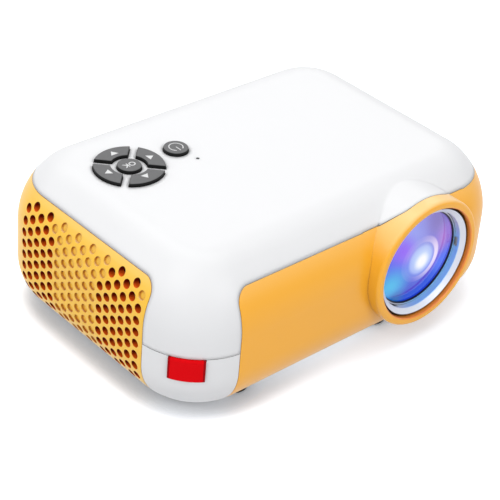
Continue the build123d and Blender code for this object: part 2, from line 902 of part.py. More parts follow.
for name, place, radius in (
    ("ok_key", (pad_x, pad_y), ok_radius),
    ("power_key", (power_x, power_y), power_radius),
):
    with BuildPart() as cap:
        with BuildSketch(Plane.XY.offset(flange_bottom)):
            with Locations(place):
                Circle(radius)
        extrude(amount=key_top - flange_bottom)
        fillet(cap.edges().group_by(Axis.Z)[-1], key_round)
        with BuildSketch(Plane.XY.offset(flange_bottom)):
            with Locations(place):
                Circle(radius + key_flange)
        extrude(amount=key_flange_height)
        with BuildSketch(Plane.XY.offset(stem_bottom)):
            with Locations(place):
                Circle(stem_radius)
        extrude(amount=stem_drop)
    key_caps[name] = cap.part

switch_places = [(pad_x, pad_y), (power_x, power_y)]
for angle in keys.values():
    side = (stem_at * cos(radians(angle)), stem_at * sin(radians(angle)))
    switch_places.append((pad_x + side[0], pad_y + side[1]))

with BuildPart() as key_board:
    with BuildSketch(Plane.XY.offset(key_board_bottom)):
        with Locations((key_board_x, key_board_y)):
            Rectangle(key_board_length, key_board_width)
        with Locations(key_posts):
            Circle(small_screw_radius + screw_gap, mode=Mode.SUBTRACT)
    extrude(amount=key_board_thickness - screw_gap)

with BuildPart() as key_switches:
    with BuildSketch(Plane.XY.offset(board_face)):
        with Locations(switch_places):
            Rectangle(switch_size, switch_size)
    extrude(amount=switch_body)
    with BuildSketch(Plane.XY.offset(board_face + switch_body)):
        with Locations(switch_places):
            Circle(plunger_radius)
    extrude(amount=plunger_height)

with BuildPart() as key_board_screws:
    with Locations(*[(x, y, key_board_bottom - screw_gap) for x, y in key_posts]):
        Cylinder(
            small_screw_radius, 2 * small_screw_head, align=(Align.CENTER, Align.CENTER, Align.MIN)
        )
        Cylinder(
            2 * small_screw_radius, small_screw_head, align=(Align.CENTER, Align.CENTER, Align.MAX)
        )

with BuildPart() as status_lamp:
    with BuildSketch(Plane.XY.offset(board_face)):
        with Locations((lamp_x, lamp_y)):
            Circle(2 * lamp_radius)
    extrude(amount=roof - board_face - screw_gap)
    with BuildSketch(Plane.XY.offset(board_face)):
        with Locations((lamp_x, lamp_y)):
            Circle(lamp_radius)
    extrude(amount=shell_top - board_face)

# Light engine: a box that holds the stack and the mirror, closed by a lid
mirror_line = lens_x + mirror_y + sqrt(2) * (mirror_thickness + seam + engine_wall)
with BuildSketch() as engine_plan:
    with BuildLine():
        Polyline(
            (engine_left, engine_front),
            (engine_right, engine_front),
            (engine_right, mirror_line - engine_right),
            (mirror_line - engine_back, engine_back),
            (engine_left, engine_back),
            close=True,
        )
    make_face()

with BuildPart() as engine_housing:
    with BuildSketch(Plane.XY.offset(engine_bottom)):
        add(engine_plan)
        with Locations(engine_posts):
            Circle(board_post_radius)
        for (x, y), (dx, dy) in lugs:
            with Locations((x + dx * board_post_radius / 2, y + dy * board_post_radius / 2)):
                Rectangle(2 * board_post_radius, 2 * board_post_radius)
        with Locations(engine_posts):
            Circle(small_screw_radius + screw_gap, mode=Mode.SUBTRACT)
    extrude(amount=engine_wall)
    with BuildSketch(Plane.XY.offset(engine_bottom + engine_wall)):
        add(engine_plan)
        offset(amount=-engine_wall, mode=Mode.SUBTRACT)
    extrude(amount=engine_top - engine_bottom - 2 * engine_wall - seam)
    with BuildSketch(Plane.YZ.offset(engine_left)):
        with Locations((mirror_y, lens_z)):
            Rectangle(window_width, window_height)
    extrude(amount=engine_wall, mode=Mode.SUBTRACT)
    with BuildSketch(lens_plane.offset(engine_front - rim_y)):
        Circle(tube_bore + seam)
    extrude(amount=engine_wall, mode=Mode.SUBTRACT)

with BuildPart() as engine_lid:
    with BuildSketch(Plane.XY.offset(engine_top - engine_wall)):
        add(engine_plan)
    extrude(amount=engine_wall)

with BuildPart() as engine_screws:
    with Locations(*[(x, y, engine_bottom + engine_wall + screw_gap) for x, y in engine_posts]):
        Cylinder(
            small_screw_radius, 3 * small_screw_head, align=(Align.CENTER, Align.CENTER, Align.MAX)
        )
        Cylinder(
            2 * small_screw_radius, small_screw_head, align=(Align.CENTER, Align.CENTER, Align.MIN)
        )

mirror_plane = Plane((lens_x, mirror_y, lens_z), (0, 0, 1), (1, 1, 0))
with BuildPart() as mirror:
    with BuildSketch(mirror_plane):
        Rectangle(panel_height, mirror_length)
    extrude(amount=mirror_thickness)

stack = {}
stack_start = engine_left + engine_wall + sliding_gap
for place, (name, thickness, width, height) in enumerate(
    (
        ("condenser_lens", fresnel_thickness, panel_width, panel_height),
        ("heat_glass", heat_glass_thickness, panel_width, panel_height),
        ("lcd_panel", lcd_thickness, panel_width, panel_height),
        ("field_lens", fresnel_thickness, panel_width, panel_height),
    )
):
    with BuildPart() as sheet:
        with BuildSketch(Plane.YZ.offset(stack_start + place * stack_pitch)):
            with Locations((mirror_y, lens_z)):
                Rectangle(width, height)
        extrude(amount=thickness)
    stack[name] = sheet.part

cone_start = sink_end + led_board_thickness + 2 * screw_gap
with BuildPart() as light_cone:
    for shrink, mode in ((0, Mode.ADD), (cone_wall, Mode.SUBTRACT)):
        with BuildSketch(Plane.YZ.offset(cone_start)):
            with Locations((mirror_y, lens_z)):
                Rectangle(cone_mouth - 2 * shrink, cone_mouth - 2 * shrink)
        with BuildSketch(Plane.YZ.offset(engine_left - seam)):
            with Locations((mirror_y, lens_z)):
                Rectangle(panel_width - 2 * shrink, panel_height - 2 * shrink)
        loft(ruled=True, mode=mode)

with BuildPart() as led_module:
    with BuildSketch(Plane.YZ.offset(sink_end + screw_gap)):
        with Locations((mirror_y, lens_z)):
            Rectangle(led_board, led_board)
    extrude(amount=led_board_thickness)
    with BuildSketch(Plane.YZ.offset(sink_end + led_board_thickness)):
        with Locations((mirror_y, lens_z)):
            Circle(led_dome_radius)
    extrude(amount=led_dome_radius / 2)
    fillet(led_module.edges().group_by(Axis.X)[-1], led_dome_radius / 4)

fan_back = fan_x + fan_depth / 2
sink_z = floor + seam + sink_height / 2
with BuildPart() as heat_sink:
    with BuildSketch(Plane.YZ.offset(sink_end - sink_base)):
        with Locations((body_y, sink_z)):
            Rectangle(sink_width, sink_height)
    extrude(amount=sink_base)
    with BuildSketch(Plane.YZ.offset(fan_back + seam)):
        with Locations((body_y, sink_z)):
            with GridLocations((sink_width - sink_fin_thickness) / (sink_fins - 1), 0, sink_fins, 1):
                Rectangle(sink_fin_thickness, sink_height)
    extrude(amount=sink_fin)

# Axial fan: a square frame with the stator on four struts, and the rotor on its axle
fan_plane = Plane((fan_x - fan_depth / 2, body_y, fan_z), (0, 1, 0), (1, 0, 0))
with BuildPart() as fan_frame:
    with BuildSketch(fan_plane):
        RectangleRounded(fan_size, fan_size, fan_corner)
        Circle(fan_bore, mode=Mode.SUBTRACT)
        with GridLocations(fan_size - 2 * fan_screw_inset, fan_size - 2 * fan_screw_inset, 2, 2):
            Circle(small_screw_radius + running_gap, mode=Mode.SUBTRACT)
    extrude(amount=fan_depth)
    with BuildSketch(fan_plane.offset(fan_depth - engine_wall)):
        Circle(fan_hub)
        Rectangle(2 * fan_bore + engine_wall, engine_wall)
        Rectangle(engine_wall, 2 * fan_bore + engine_wall)
    extrude(amount=engine_wall)
    with BuildSketch(fan_plane.offset(fan_depth / 2)):
        Circle(fan_hub - 2 * engine_wall)
    extrude(amount=fan_depth / 2)
    with BuildSketch(fan_plane):
        Circle(axle_radius + running_gap)
    extrude(amount=fan_depth, mode=Mode.SUBTRACT)

hub_depth = fan_depth - 2 * engine_wall
with BuildPart() as blade:
    with BuildSketch(Plane((fan_x, body_y, fan_z + fan_hub - engine_wall), (1, 0, 0), (0, 0, 1))):
        Rectangle(hub_depth, lip_thickness, rotation=blade_pitch_root)
    with BuildSketch(Plane((fan_x, body_y, fan_z + fan_bore - fan_tip_gap), (1, 0, 0), (0, 0, 1))):
        Rectangle(hub_depth, lip_thickness, rotation=blade_pitch_tip)
    loft()

with BuildPart() as fan_rotor:
    for turn_step in range(fan_blades):
        add(blade.part.rotate(Axis((0, body_y, fan_z), (1, 0, 0)), 360 / fan_blades * turn_step))
    with BuildSketch(fan_plane.offset(engine_wall)):
        Circle(fan_hub)
    extrude(amount=hub_depth - fan_tip_gap)
    with BuildSketch(fan_plane.offset(2 * engine_wall)):
        Circle(fan_hub - engine_wall)
    extrude(amount=hub_depth, mode=Mode.SUBTRACT)
    with BuildSketch(fan_plane.offset(2 * engine_wall)):
        Circle(axle_radius)
    extrude(amount=fan_depth - 2 * engine_wall - fan_tip_gap)

with BuildPart() as main_board:
    with BuildSketch(Plane.XY.offset(board_top - board_thickness + screw_gap)):
        with Locations((0, (board_front + board_back) / 2)):
            Rectangle(board_length, board_back - board_front)
        with Locations(board_posts):
            Circle(small_screw_radius + screw_gap, mode=Mode.SUBTRACT)
    extrude(amount=board_thickness - 2 * screw_gap)

with BuildPart() as board_screws:
    with Locations(*[(x, y, board_top + screw_gap) for x, y in board_posts]):
        Cylinder(
            small_screw_radius, 3 * small_screw_head, align=(Align.CENTER, Align.CENTER, Align.MAX)
        )
        Cylinder(
            2 * small_screw_radius, small_screw_head, align=(Align.CENTER, Align.CENTER, Align.MIN)
        )

# Sockets on the main board, with their mouths in the rear panel
mouth = back_y - port_recess
mouth_plane = Plane((0, mouth, board_top), (1, 0, 0), (0, -1, 0))
sockets = {}
for name, x, width, height, tongue_z, tongue in (
    ("hdmi_socket", hdmi_x, hdmi_width, hdmi_height, hdmi_tongue_z, hdmi_tongue),
    ("usb_socket", usb_x, usb_width, usb_height, usb_tongue_z, usb_tongue),
    ("card_slot", card_x, card_width, card_height, 0, 0),
):
    with BuildPart() as socket:
        with BuildSketch(mouth_plane):
            with Locations((x, height / 2)):
                Rectangle(width, height)
        extrude(amount=socket_length)
        with BuildSketch(mouth_plane):
            with Locations((x, height / 2)):
                Rectangle(width - 2 * socket_skin, height - 2 * socket_skin)
        extrude(amount=socket_length - lip_thickness, mode=Mode.SUBTRACT)
        if tongue:
            with BuildSketch(mouth_plane.offset(port_recess)):
                with Locations((x, tongue_z)):
                    Rectangle(width - 2 * tongue_side, tongue)
            extrude(amount=socket_length - lip_thickness)
    sockets[name] = socket.part

for name, x, radius, bore, pin in (
    ("av_socket", av_x, av_radius, av_bore, 0),
    ("power_inlet", dc_x, dc_radius, dc_bore, dc_pin),
):
    with BuildPart() as socket:
        with BuildSketch(mouth_plane):
            with Locations((x, radius)):
                Circle(radius)
        extrude(amount=socket_length)
        with BuildSketch(mouth_plane.offset(wall + port_recess)):
            with Locations((x, radius)):
                Rectangle(2 * radius, 2 * radius)
        extrude(amount=socket_length - wall - port_recess)
        with BuildSketch(mouth_plane):
            with Locations((x, radius)):
                Circle(bore)
        extrude(amount=socket_length - lip_thickness, mode=Mode.SUBTRACT)
        if pin:
            with BuildSketch(mouth_plane.offset(port_recess)):
                with Locations((x, radius)):
                    Circle(pin)
            extrude(amount=socket_length - lip_thickness)
    sockets[name] = socket.part

ir_front = back_y - inset_above(ir_z + ir_radius, wall) - seam
with BuildPart() as ir_window:
    with BuildSketch(Plane.XZ.offset(inset_above(ir_z) - back_y)):
        with Locations((ir_x, ir_z)):
            Circle(ir_radius)
    extrude(amount=wall)

with BuildPart() as ir_receiver:
    with BuildSketch(Plane.XZ.offset(-ir_front)):
        with Locations((ir_x, ir_z)):
            Rectangle(2 * ir_radius, 2 * ir_radius)
    extrude(amount=2 * ir_radius)
    with BuildSketch(Plane.XY.offset(board_top)):
        with Locations((ir_x, ir_front - 1.5 * ir_radius)):
            with GridLocations(ir_radius / 2, 0, 3, 1):
                Rectangle(socket_skin, socket_skin)
    extrude(amount=ir_z - ir_radius - board_top)

speaker_section = Plane((speaker_front, body_y, speaker_z), (-1, 0, 0), (0, 1, 0))
with BuildPart() as speaker:
    with BuildSketch(speaker_section):
        with BuildLine():
            Polyline(
                (speaker_rim, 0),
                (speaker_rim / 2, speaker_radius / 3),
                (speaker_rim / 2, speaker_radius - 2 * lip_thickness),
                (0, speaker_radius - lip_thickness),
                (0, speaker_radius),
                (speaker_rim, speaker_radius),
                (speaker_depth / 2, speaker_magnet),
                (speaker_depth, speaker_magnet),
                (speaker_depth, 0),
                close=True,
            )
        make_face()
    revolve(axis=Axis((speaker_front, body_y, speaker_z), (1, 0, 0)))

pieces = {
    "top_cover": top_cover.part,
    "bottom_shell": bottom_shell.part,
    "front_panel": front_panel.part,
    "rear_panel": rear_panel.part,
    "side_grille": side_grille.part,
    "rubber_feet": rubber_feet.part,
    "case_screws": case_screws.part,
    "tripod_nut": tripod_nut.part,
    "seam_tag": seam_tag.part,
    "lens_tube": lens_tube.part,
    "focus_ring": focus_ring.part,
    "lens_barrel": lens_barrel.part,
    "front_glass": front_glass.part,
    "middle_glass": middle_glass.part,
    "rear_glass": rear_glass.part,
    "key_board": key_board.part,
    "key_switches": key_switches.part,
    "key_board_screws": key_board_screws.part,
    "status_lamp": status_lamp.part,
    "engine_housing": engine_housing.part,
    "engine_lid": engine_lid.part,
    "engine_screws": engine_screws.part,
    "mirror": mirror.part,
    "light_cone": light_cone.part,
    "led_module": led_module.part,
    "heat_sink": heat_sink.part,
    "fan_frame": fan_frame.part,
    "fan_rotor": fan_rotor.part,
    "main_board": main_board.part,
    "board_screws": board_screws.part,
    "ir_window": ir_window.part,
    "ir_receiver": ir_receiver.part,
    "speaker": speaker.part,
}
pieces.update(key_caps)
pieces.update(stack)
pieces.update(sockets)
for name, piece in pieces.items():
    piece.label = name
    export_step(piece, f"parts/{name}.step")
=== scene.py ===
from math import cos, pi, radians, sin

import bmesh
import bpy
from mathutils import Matrix, Vector


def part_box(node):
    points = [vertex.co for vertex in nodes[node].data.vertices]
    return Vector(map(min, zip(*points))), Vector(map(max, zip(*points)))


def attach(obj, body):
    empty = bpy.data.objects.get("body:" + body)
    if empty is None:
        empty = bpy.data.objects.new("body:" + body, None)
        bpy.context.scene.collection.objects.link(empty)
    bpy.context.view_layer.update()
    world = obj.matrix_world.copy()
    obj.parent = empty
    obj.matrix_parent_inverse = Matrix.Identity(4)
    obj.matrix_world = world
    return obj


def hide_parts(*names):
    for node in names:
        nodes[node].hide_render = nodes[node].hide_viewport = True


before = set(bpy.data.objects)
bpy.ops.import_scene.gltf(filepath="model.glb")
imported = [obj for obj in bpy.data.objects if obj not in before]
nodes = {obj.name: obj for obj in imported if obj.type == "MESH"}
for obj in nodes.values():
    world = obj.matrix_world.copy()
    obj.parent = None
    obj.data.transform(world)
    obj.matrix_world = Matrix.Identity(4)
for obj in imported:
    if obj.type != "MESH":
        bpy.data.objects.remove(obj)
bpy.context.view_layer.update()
scene = bpy.context.scene

# Camera. It stands in front of the projector's left front corner, half a metre away and a third of a
# right angle up, with a long lens and its horizon tipped a little, and looks at the housing's middle.
camera_turn = radians(-44.09)
camera_rise = radians(32.57)
camera_tip = radians(4.98)
camera_away = 0.5326
camera_target = Vector((0, 0.002175, 0.0269))
back = Vector(
    (sin(camera_turn) * cos(camera_rise), -cos(camera_turn) * cos(camera_rise), sin(camera_rise))
)
level = Vector((0, 0, 1)).cross(back).normalized()
upright = back.cross(level)
right = level * cos(camera_tip) + upright * sin(camera_tip)
up = upright * cos(camera_tip) - level * sin(camera_tip)
camera_axes = Matrix((right, up, back)).transposed().to_4x4()
camera_data = bpy.data.cameras.new("camera")
camera_data.lens = 121.0
camera_data.sensor_width = 36.0
camera_data.shift_x = -0.0089
camera_data.shift_y = -0.0681
camera_data.clip_start = 0.01


def add_object(name, data):
    """A new object in the scene."""
    made = bpy.data.objects.new(name, data)
    scene.collection.objects.link(made)
    return made


camera = add_object("camera", camera_data)
camera.matrix_world = Matrix.Translation(camera_target + back * camera_away) @ camera_axes
scene.camera = camera
scene.view_settings.view_transform = "Standard"

# Studio. A seamless white sheet of paper under a soft white room, which the camera, glossy parts and
# glass see as plain white. The paper shows a soft grey shadow close to the projector, partly cast by the
# lamps and partly painted, and plain white further off. It throws light on the underside, and from
# below it is clear, so that this can be seen.
room = bpy.data.worlds.new("studio")
room.use_nodes = True
scene.world = room
room_tree = room.node_tree
room_light = room_tree.nodes["Background"]
room_light.inputs["Color"].default_value = (0.97, 0.98, 1.0, 1)
room_light.inputs["Strength"].default_value = 0.44


def node(tree, kind, settings=None, inputs=None):
    """Adds a shader node. An input is given a value, or the output socket of another node."""
    made = tree.nodes.new("ShaderNode" + kind)
    for name, value in (settings or {}).items():
        setattr(made, name, value)
    for name, value in (inputs or {}).items():
        if isinstance(value, bpy.types.NodeSocket):
            tree.links.new(value, made.inputs[name])
        else:
            made.inputs[name].default_value = value
    return made


def sum_of(tree, operation, *values, clamp=False):
    """The output of a maths node."""
    settings = {"operation": operation, "use_clamp": clamp}
    return node(tree, "Math", settings, dict(enumerate(values))).outputs[0]


def mixed(tree, mask, under, over):
    """One shader in place of another where the mask is 1."""
    inputs = {0: mask, 1: under.outputs[0], 2: over.outputs[0]}
    return node(tree, "MixShader", None, inputs)


room_seen = node(room_tree, "Background", None, {"Color": (1, 1, 1, 1), "Strength": 1.0})
room_path = node(room_tree, "LightPath").outputs
mirrored = sum_of(room_tree, "MAXIMUM", room_path["Is Glossy Ray"], room_path["Is Transmission Ray"])
direct = sum_of(room_tree, "MAXIMUM", room_path["Is Camera Ray"], mirrored)
room_choice = mixed(room_tree, direct, room_light, room_seen)
room_tree.links.new(room_choice.outputs[0], room_tree.nodes["World Output"].inputs[0])

# The sheet's corners lie off centre, which keeps its diagonal away from the projector.
floor_left, floor_right, floor_front, floor_back = -3.0, 3.9, -3.0, 3.0
table_corners = [
    (floor_left, floor_front, 0),
    (floor_right, floor_front, 0),
    (floor_right, floor_back, 0),
    (floor_left, floor_back, 0),
]
table_mesh = bpy.data.meshes.new("table_top")
table_mesh.from_pydata(table_corners, [], [(0, 1, 2, 3)])
table_top = add_object("table_top", table_mesh)


def new_material(name, inputs):
    """A material with its Principled shader and that shader's plain values."""
    material = bpy.data.materials.new(name)
    material.use_nodes = True
    shader = material.node_tree.nodes["Principled BSDF"]
    for socket, value in inputs.items():
        shader.inputs[socket].default_value = value
    return material, material.node_tree, shader


def fade(tree, value, start, end):
    """0 up to the start value, 1 from the end value on, and a smooth change between them."""
    inputs = {"Value": value, "From Min": start, "From Max": end}
    return node(tree, "MapRange", {"interpolation_type": "SMOOTHSTEP"}, inputs).outputs["Result"]


def layer(tree, mask, under, over):
    """One colour over another where the mask is 1."""
    return node(tree, "Mix", {"data_type": "RGBA"}, {0: mask, 6: under, 7: over}).outputs[2]


# For the camera the paper throws back extra light, less where things are near, which paints a shadow into
# its tone: nearly none close to the projector's left side, where the painted shadow is deepest, some
# close to its right, and more in the open.
paper, paper_tree, paper_shader = new_material(
    "white_paper",
    {"Base Color": (0.66, 0.668, 0.68, 1), "Roughness": 0.9, "Specular IOR Level": 0.0},
)
deep_shadow_end, light_shadow_start = -0.055, 0.0
shadow_reach = 0.01
paper_path = node(paper_tree, "LightPath").outputs
paper_place = node(paper_tree, "TexCoord").outputs["Object"]
paper_axes = node(paper_tree, "SeparateXYZ", None, {0: paper_place}).outputs
paper_right = fade(paper_tree, paper_axes["X"], deep_shadow_end, light_shadow_start)
# Painted shadow: the paper's extra light for the camera fades out where the projector is near.
paper_nearness = node(paper_tree, "AmbientOcclusion", {"samples": 8}, {"Distance": shadow_reach})
paper_open = fade(paper_tree, paper_nearness.outputs["AO"], 0.3, 0.85)
paper_close = layer(paper_tree, paper_right, (0.0, 0.0, 0.004, 1), (0.67, 0.71, 0.75, 1))
paper_far = layer(paper_tree, paper_right, (0.9, 0.905, 0.92, 1), (0.71, 0.76, 0.81, 1))
paper_painted_shadow_tone = layer(paper_tree, paper_open, paper_close, paper_far)
paper_extra = node(paper_tree, "BsdfDiffuse", None, {"Color": paper_painted_shadow_tone})
paper_dark = node(paper_tree, "BsdfDiffuse", None, {"Color": (0, 0, 0, 1)})
paper_view = mixed(paper_tree, paper_path["Is Camera Ray"], paper_dark, paper_extra)


def vector_sum(tree, operation, *values):
    """The outputs of a vector maths node: a vector, and a value for a length or a product."""
    return node(tree, "VectorMath", {"operation": operation}, dict(enumerate(values))).outputs


def added(tree, first, second):
    """Two shaders' light together."""
    return node(tree, "AddShader", None, {0: first.outputs[0], 1: second.outputs[0]})


# Its glow: white for the camera far off, with a little painted light for the camera on its right side,
# pale in mirrors, and light for the underside within the projector's footprint.
white_from, white_at = 0.25, 0.6
right_painted_light = 0.04
mirror_glow = 0.45
footprint_glow = 0.28
footprint_blur = 0.012
footprint_edges = {"X": 0.066, "Y": 0.048}
for axis, edge in footprint_edges.items():
    offset = sum_of(paper_tree, "ABSOLUTE", paper_axes[axis])
    within = fade(paper_tree, offset, edge, edge - footprint_blur)
    footprint_glow = sum_of(paper_tree, "MULTIPLY", footprint_glow, within)
paper_away = vector_sum(paper_tree, "LENGTH", paper_place)["Value"]
far_glow = fade(paper_tree, paper_away, white_from, white_at)
# A little painted light for the camera on the paper's right side, and white far off.
camera_glow = sum_of(paper_tree, "MULTIPLY_ADD", paper_right, right_painted_light, far_glow)
paper_light = sum_of(paper_tree, "MULTIPLY", paper_path["Is Glossy Ray"], mirror_glow)
for ray, strength in (("Is Camera Ray", camera_glow), ("Is Diffuse Ray", footprint_glow)):
    paper_light = sum_of(paper_tree, "MULTIPLY_ADD", paper_path[ray], strength, paper_light)
paper_glow = node(paper_tree, "Emission", None, {"Strength": paper_light})
paper_above = added(paper_tree, added(paper_tree, paper_shader, paper_view), paper_glow)
paper_clear = node(paper_tree, "BsdfTransparent")
paper_below = node(paper_tree, "NewGeometry").outputs["Backfacing"]
paper_whole = mixed(paper_tree, paper_below, paper_above, paper_clear)
paper_tree.links.new(paper_whole.outputs[0], paper_tree.nodes["Material Output"].inputs[0])
table_mesh.materials.append(paper)


def softbox(name, place, width, height, power):
    """A rectangular soft lamp at a place in metres, aimed at the projector."""
    light = bpy.data.lights.new(name, "AREA")
    light.shape = "RECTANGLE"
    light.size = width
    light.size_y = height
    light.energy = power
    lamp = add_object(name, light)
    lamp.location = place
    lamp.rotation_mode = "QUATERNION"
    lamp.rotation_quaternion = (camera_target - Vector(place)).to_track_quat("-Z", "Y")


softbox("key_softbox", (-0.78, -0.08, 0.7), 0.7, 0.7, 3.6)
softbox("front_softbox", (0.0, -0.9, 0.56), 0.6, 0.4, 3.0)
softbox("top_softbox", (0.15, 0.1, 1.0), 0.8, 0.6, 2.5)
softbox("right_softbox", (0.6, 0.62, 0.55), 0.5, 0.35, 1.0)
softbox("back_softbox", (0.05, 0.75, 0.9), 0.4, 0.3, 1.2)
softbox("left_softbox", (-0.72, 0.62, 0.4), 0.35, 0.25, 0.8)

# White shells. The top cover with its brow over the lens and the bottom shell are injection moulded in
# white ABS, satin outside, and screwed together from below.
abs_white = (0.82, 0.82, 0.825)
satin = 0.34
cover_corner = 0.002


def moulded_group():
    """What every moulded or machined face shares: soft corners, a faint grain, a slow change of tone,
    and painted shade in joints and creases where faces nearly touch."""
    tone_scale = 28.0
    crease_shade_reach = 0.001
    crease_shade_closed, crease_shade_open = 0.15, 0.6
    crease_shade_tone = 0.1
    roughness_change = 0.12
    group = bpy.data.node_groups.new("moulded_surface", "ShaderNodeTree")
    for name, kind, value in (
        ("Colour", "NodeSocketColor", (0.8, 0.8, 0.8, 1)),
        ("Tone change", "NodeSocketFloat", 0.03),
        ("Grain size", "NodeSocketFloat", 2500.0),
        ("Grain depth", "NodeSocketFloat", 0.00001),
        ("Corner radius", "NodeSocketFloat", 0.0003),
        ("Roughness", "NodeSocketFloat", 0.3),
    ):
        group.interface.new_socket(name, in_out="INPUT", socket_type=kind).default_value = value
    for name, kind in (
        ("Colour", "NodeSocketColor"),
        ("Roughness", "NodeSocketFloat"),
        ("Normal", "NodeSocketVector"),
    ):
        group.interface.new_socket(name, in_out="OUTPUT", socket_type=kind)
    into = group.nodes.new("NodeGroupInput").outputs
    out = group.nodes.new("NodeGroupOutput").inputs
    place = node(group, "TexCoord").outputs["Object"]
    slow = node(group, "TexNoise", None, {"Vector": place, "Scale": tone_scale, "Detail": 3.0})
    centred = sum_of(group, "SUBTRACT", slow.outputs[0], 0.5)
    swing = sum_of(group, "MULTIPLY_ADD", centred, into["Tone change"], 1.0)
    tinted = node(group, "VectorMath", {"operation": "SCALE"}, {0: into["Colour"], "Scale": swing})
    # Painted shade: a face darkens towards this tone where another face is within reach, in joints and
    # creases.
    nearness = node(group, "AmbientOcclusion", {"samples": 4}, {"Distance": crease_shade_reach})
    apart = fade(group, nearness.outputs["AO"], crease_shade_closed, crease_shade_open)
    shade = sum_of(group, "MULTIPLY_ADD", apart, 1 - crease_shade_tone, crease_shade_tone)
    shaded = node(group, "VectorMath", {"operation": "SCALE"}, {0: tinted.outputs[0], "Scale": shade})
    rough = sum_of(group, "MULTIPLY_ADD", centred, roughness_change, into["Roughness"])
    grain = node(group, "TexNoise", None, {"Vector": place, "Scale": into["Grain size"], "Detail": 2.0})
    corner = node(group, "Bevel", {"samples": 6}, {"Radius": into["Corner radius"]})
    relief = {"Height": grain.outputs[0], "Distance": into["Grain depth"], "Normal": corner.outputs[0]}
    bump = node(group, "Bump", None, {"Strength": 0.5, **relief})
    group.links.new(shaded.outputs[0], out["Colour"])
    group.links.new(rough, out["Roughness"])
    group.links.new(bump.outputs[0], out["Normal"])
    return group


moulded_surface = moulded_group()


def moulded(name, colour, roughness, tone=0.03, grain=2500.0, depth=0.00001, corner=0.0003, **plain):
    """A moulded, painted or machined finish: by what share its tone changes, how many grains it has to
    a metre and how deep they are, and how far its corners are rounded. Plain values go to the shader."""
    inputs = {socket.replace("_", " "): value for socket, value in plain.items()}
    material, tree, shader = new_material(name, inputs)
    values = {
        "Colour": (*colour, 1),
        "Tone change": tone,
        "Grain size": grain,
        "Grain depth": depth,
        "Corner radius": corner,
        "Roughness": roughness,
    }
    surface = node(tree, "Group", {"node_tree": moulded_surface}, values)
    for output, socket in (("Colour", "Base Color"), ("Roughness", "Roughness"), ("Normal", "Normal")):
        tree.links.new(surface.outputs[output], shader.inputs[socket])
    return material


def dress(material, *names):
    """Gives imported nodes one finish."""
    for name in names:
        mesh = nodes[name].data
        mesh.materials.clear()
        mesh.materials.append(material)
        mesh.polygons.foreach_set("material_index", [0] * len(mesh.polygons))


white_abs = moulded("white_abs", abs_white, satin, Specular_IOR_Level=0.2)
dress(white_abs, "bottom_shell")
cover_abs = moulded("cover_abs", abs_white, satin, corner=cover_corner, Specular_IOR_Level=0.2)
dress(cover_abs, "top_cover")

# Coloured panels. The front panel with the lens hood and the rear panel are orange ABS, let into the
# white shells with a hairline joint all round. Inside the hood, beside the ring, painted shade makes the
# bore's walls a redder orange.
crease_shade_brown = (0.55, 0.17, 0.008)
painted_highlight_pale = (1.0, 0.68, 0.3)
painted_highlight_share = 0.75
bounce_grey = (0.42, 0.44, 0.5)
bounce_share = 0.65
hood_bore = 0.01925
glass_low, glass_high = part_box("front_glass")
glass_middle = (glass_low + glass_high) / 2


def dress_where(material, name, chosen):
    """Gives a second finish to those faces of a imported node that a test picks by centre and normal."""
    mesh = nodes[name].data
    mesh.materials.append(material)
    index = len(mesh.materials) - 1
    for polygon in mesh.polygons:
        if chosen(polygon.center, polygon.normal):
            polygon.material_index = index


def base_colour(material):
    """The base colour's socket on a finish's shader."""
    return material.node_tree.nodes["Principled BSDF"].inputs["Base Color"]


def paint_over(material, mask, paint):
    """Lays a colour over what a finish has there, where the mask is 1."""
    tree = material.node_tree
    base = base_colour(material)
    tree.links.new(layer(tree, mask, base.links[0].from_socket, (*paint, 1)), base)


def facing_up(material, start, end):
    """0 on faces whose normal rises less than the start value, and 1 from the end value on."""
    tree = material.node_tree
    normal = node(tree, "SeparateXYZ", None, {0: node(tree, "NewGeometry").outputs["Normal"]})
    return fade(tree, normal.outputs["Z"], start, end)


def panel_abs(name, colour):
    """Coloured ABS, whose painted shade in joints and corners is no darker than an orange brown. Faces
    that look up are painted paler, as a highlight from the bright ceiling, and the light that the plastic
    throws on the white paper and shells is nearly grey, as in the photograph's shadows."""
    material = moulded(name, colour, 0.3)
    tree = material.node_tree
    base = base_colour(material)
    # The painted shade in joints and creases goes no darker than this brown.
    colours = {0: 1.0, 6: base.links[0].from_socket, 7: (*crease_shade_brown, 1)}
    lighter = node(tree, "Mix", {"data_type": "RGBA", "blend_type": "LIGHTEN"}, colours)
    tree.links.new(lighter.outputs[2], base)
    # Painted highlight: faces that look up are made paler.
    painted_highlight = sum_of(tree, "MULTIPLY", facing_up(material, 0.3, 0.95), painted_highlight_share)
    paint_over(material, painted_highlight, painted_highlight_pale)
    bounced = sum_of(tree, "MULTIPLY", node(tree, "LightPath").outputs["Is Diffuse Ray"], bounce_share)
    paint_over(material, bounced, bounce_grey)
    return material


orange_abs = panel_abs("orange_abs", (1.0, 0.46, 0.025))
dress(orange_abs, "front_panel", "rear_panel")
# Painted shade inside the hood, beside the ring: the bore's walls in a redder orange.
bore_painted_shade = moulded("bore_painted_shade", (1.0, 0.3, 0.04), 0.35)
dress_where(
    bore_painted_shade,
    "front_panel",
    lambda centre, normal: (centre - glass_middle).xz.length < hood_bore,
)

# Grille. The left end's panel is the same plastic in a yellower batch, with two fields of round holes
# for the fan and blind dimples between them. Shade is painted into the dimples, and the holes' walls
# are painted dark red as shade and orange red as light where they look up.
yellow_abs = panel_abs("yellow_abs", (1.0, 0.57, 0.035))
yellow_tree = yellow_abs.node_tree
dimple_painted_shade_brown = (0.55, 0.16, 0.008)
dimple_reach = 0.0016
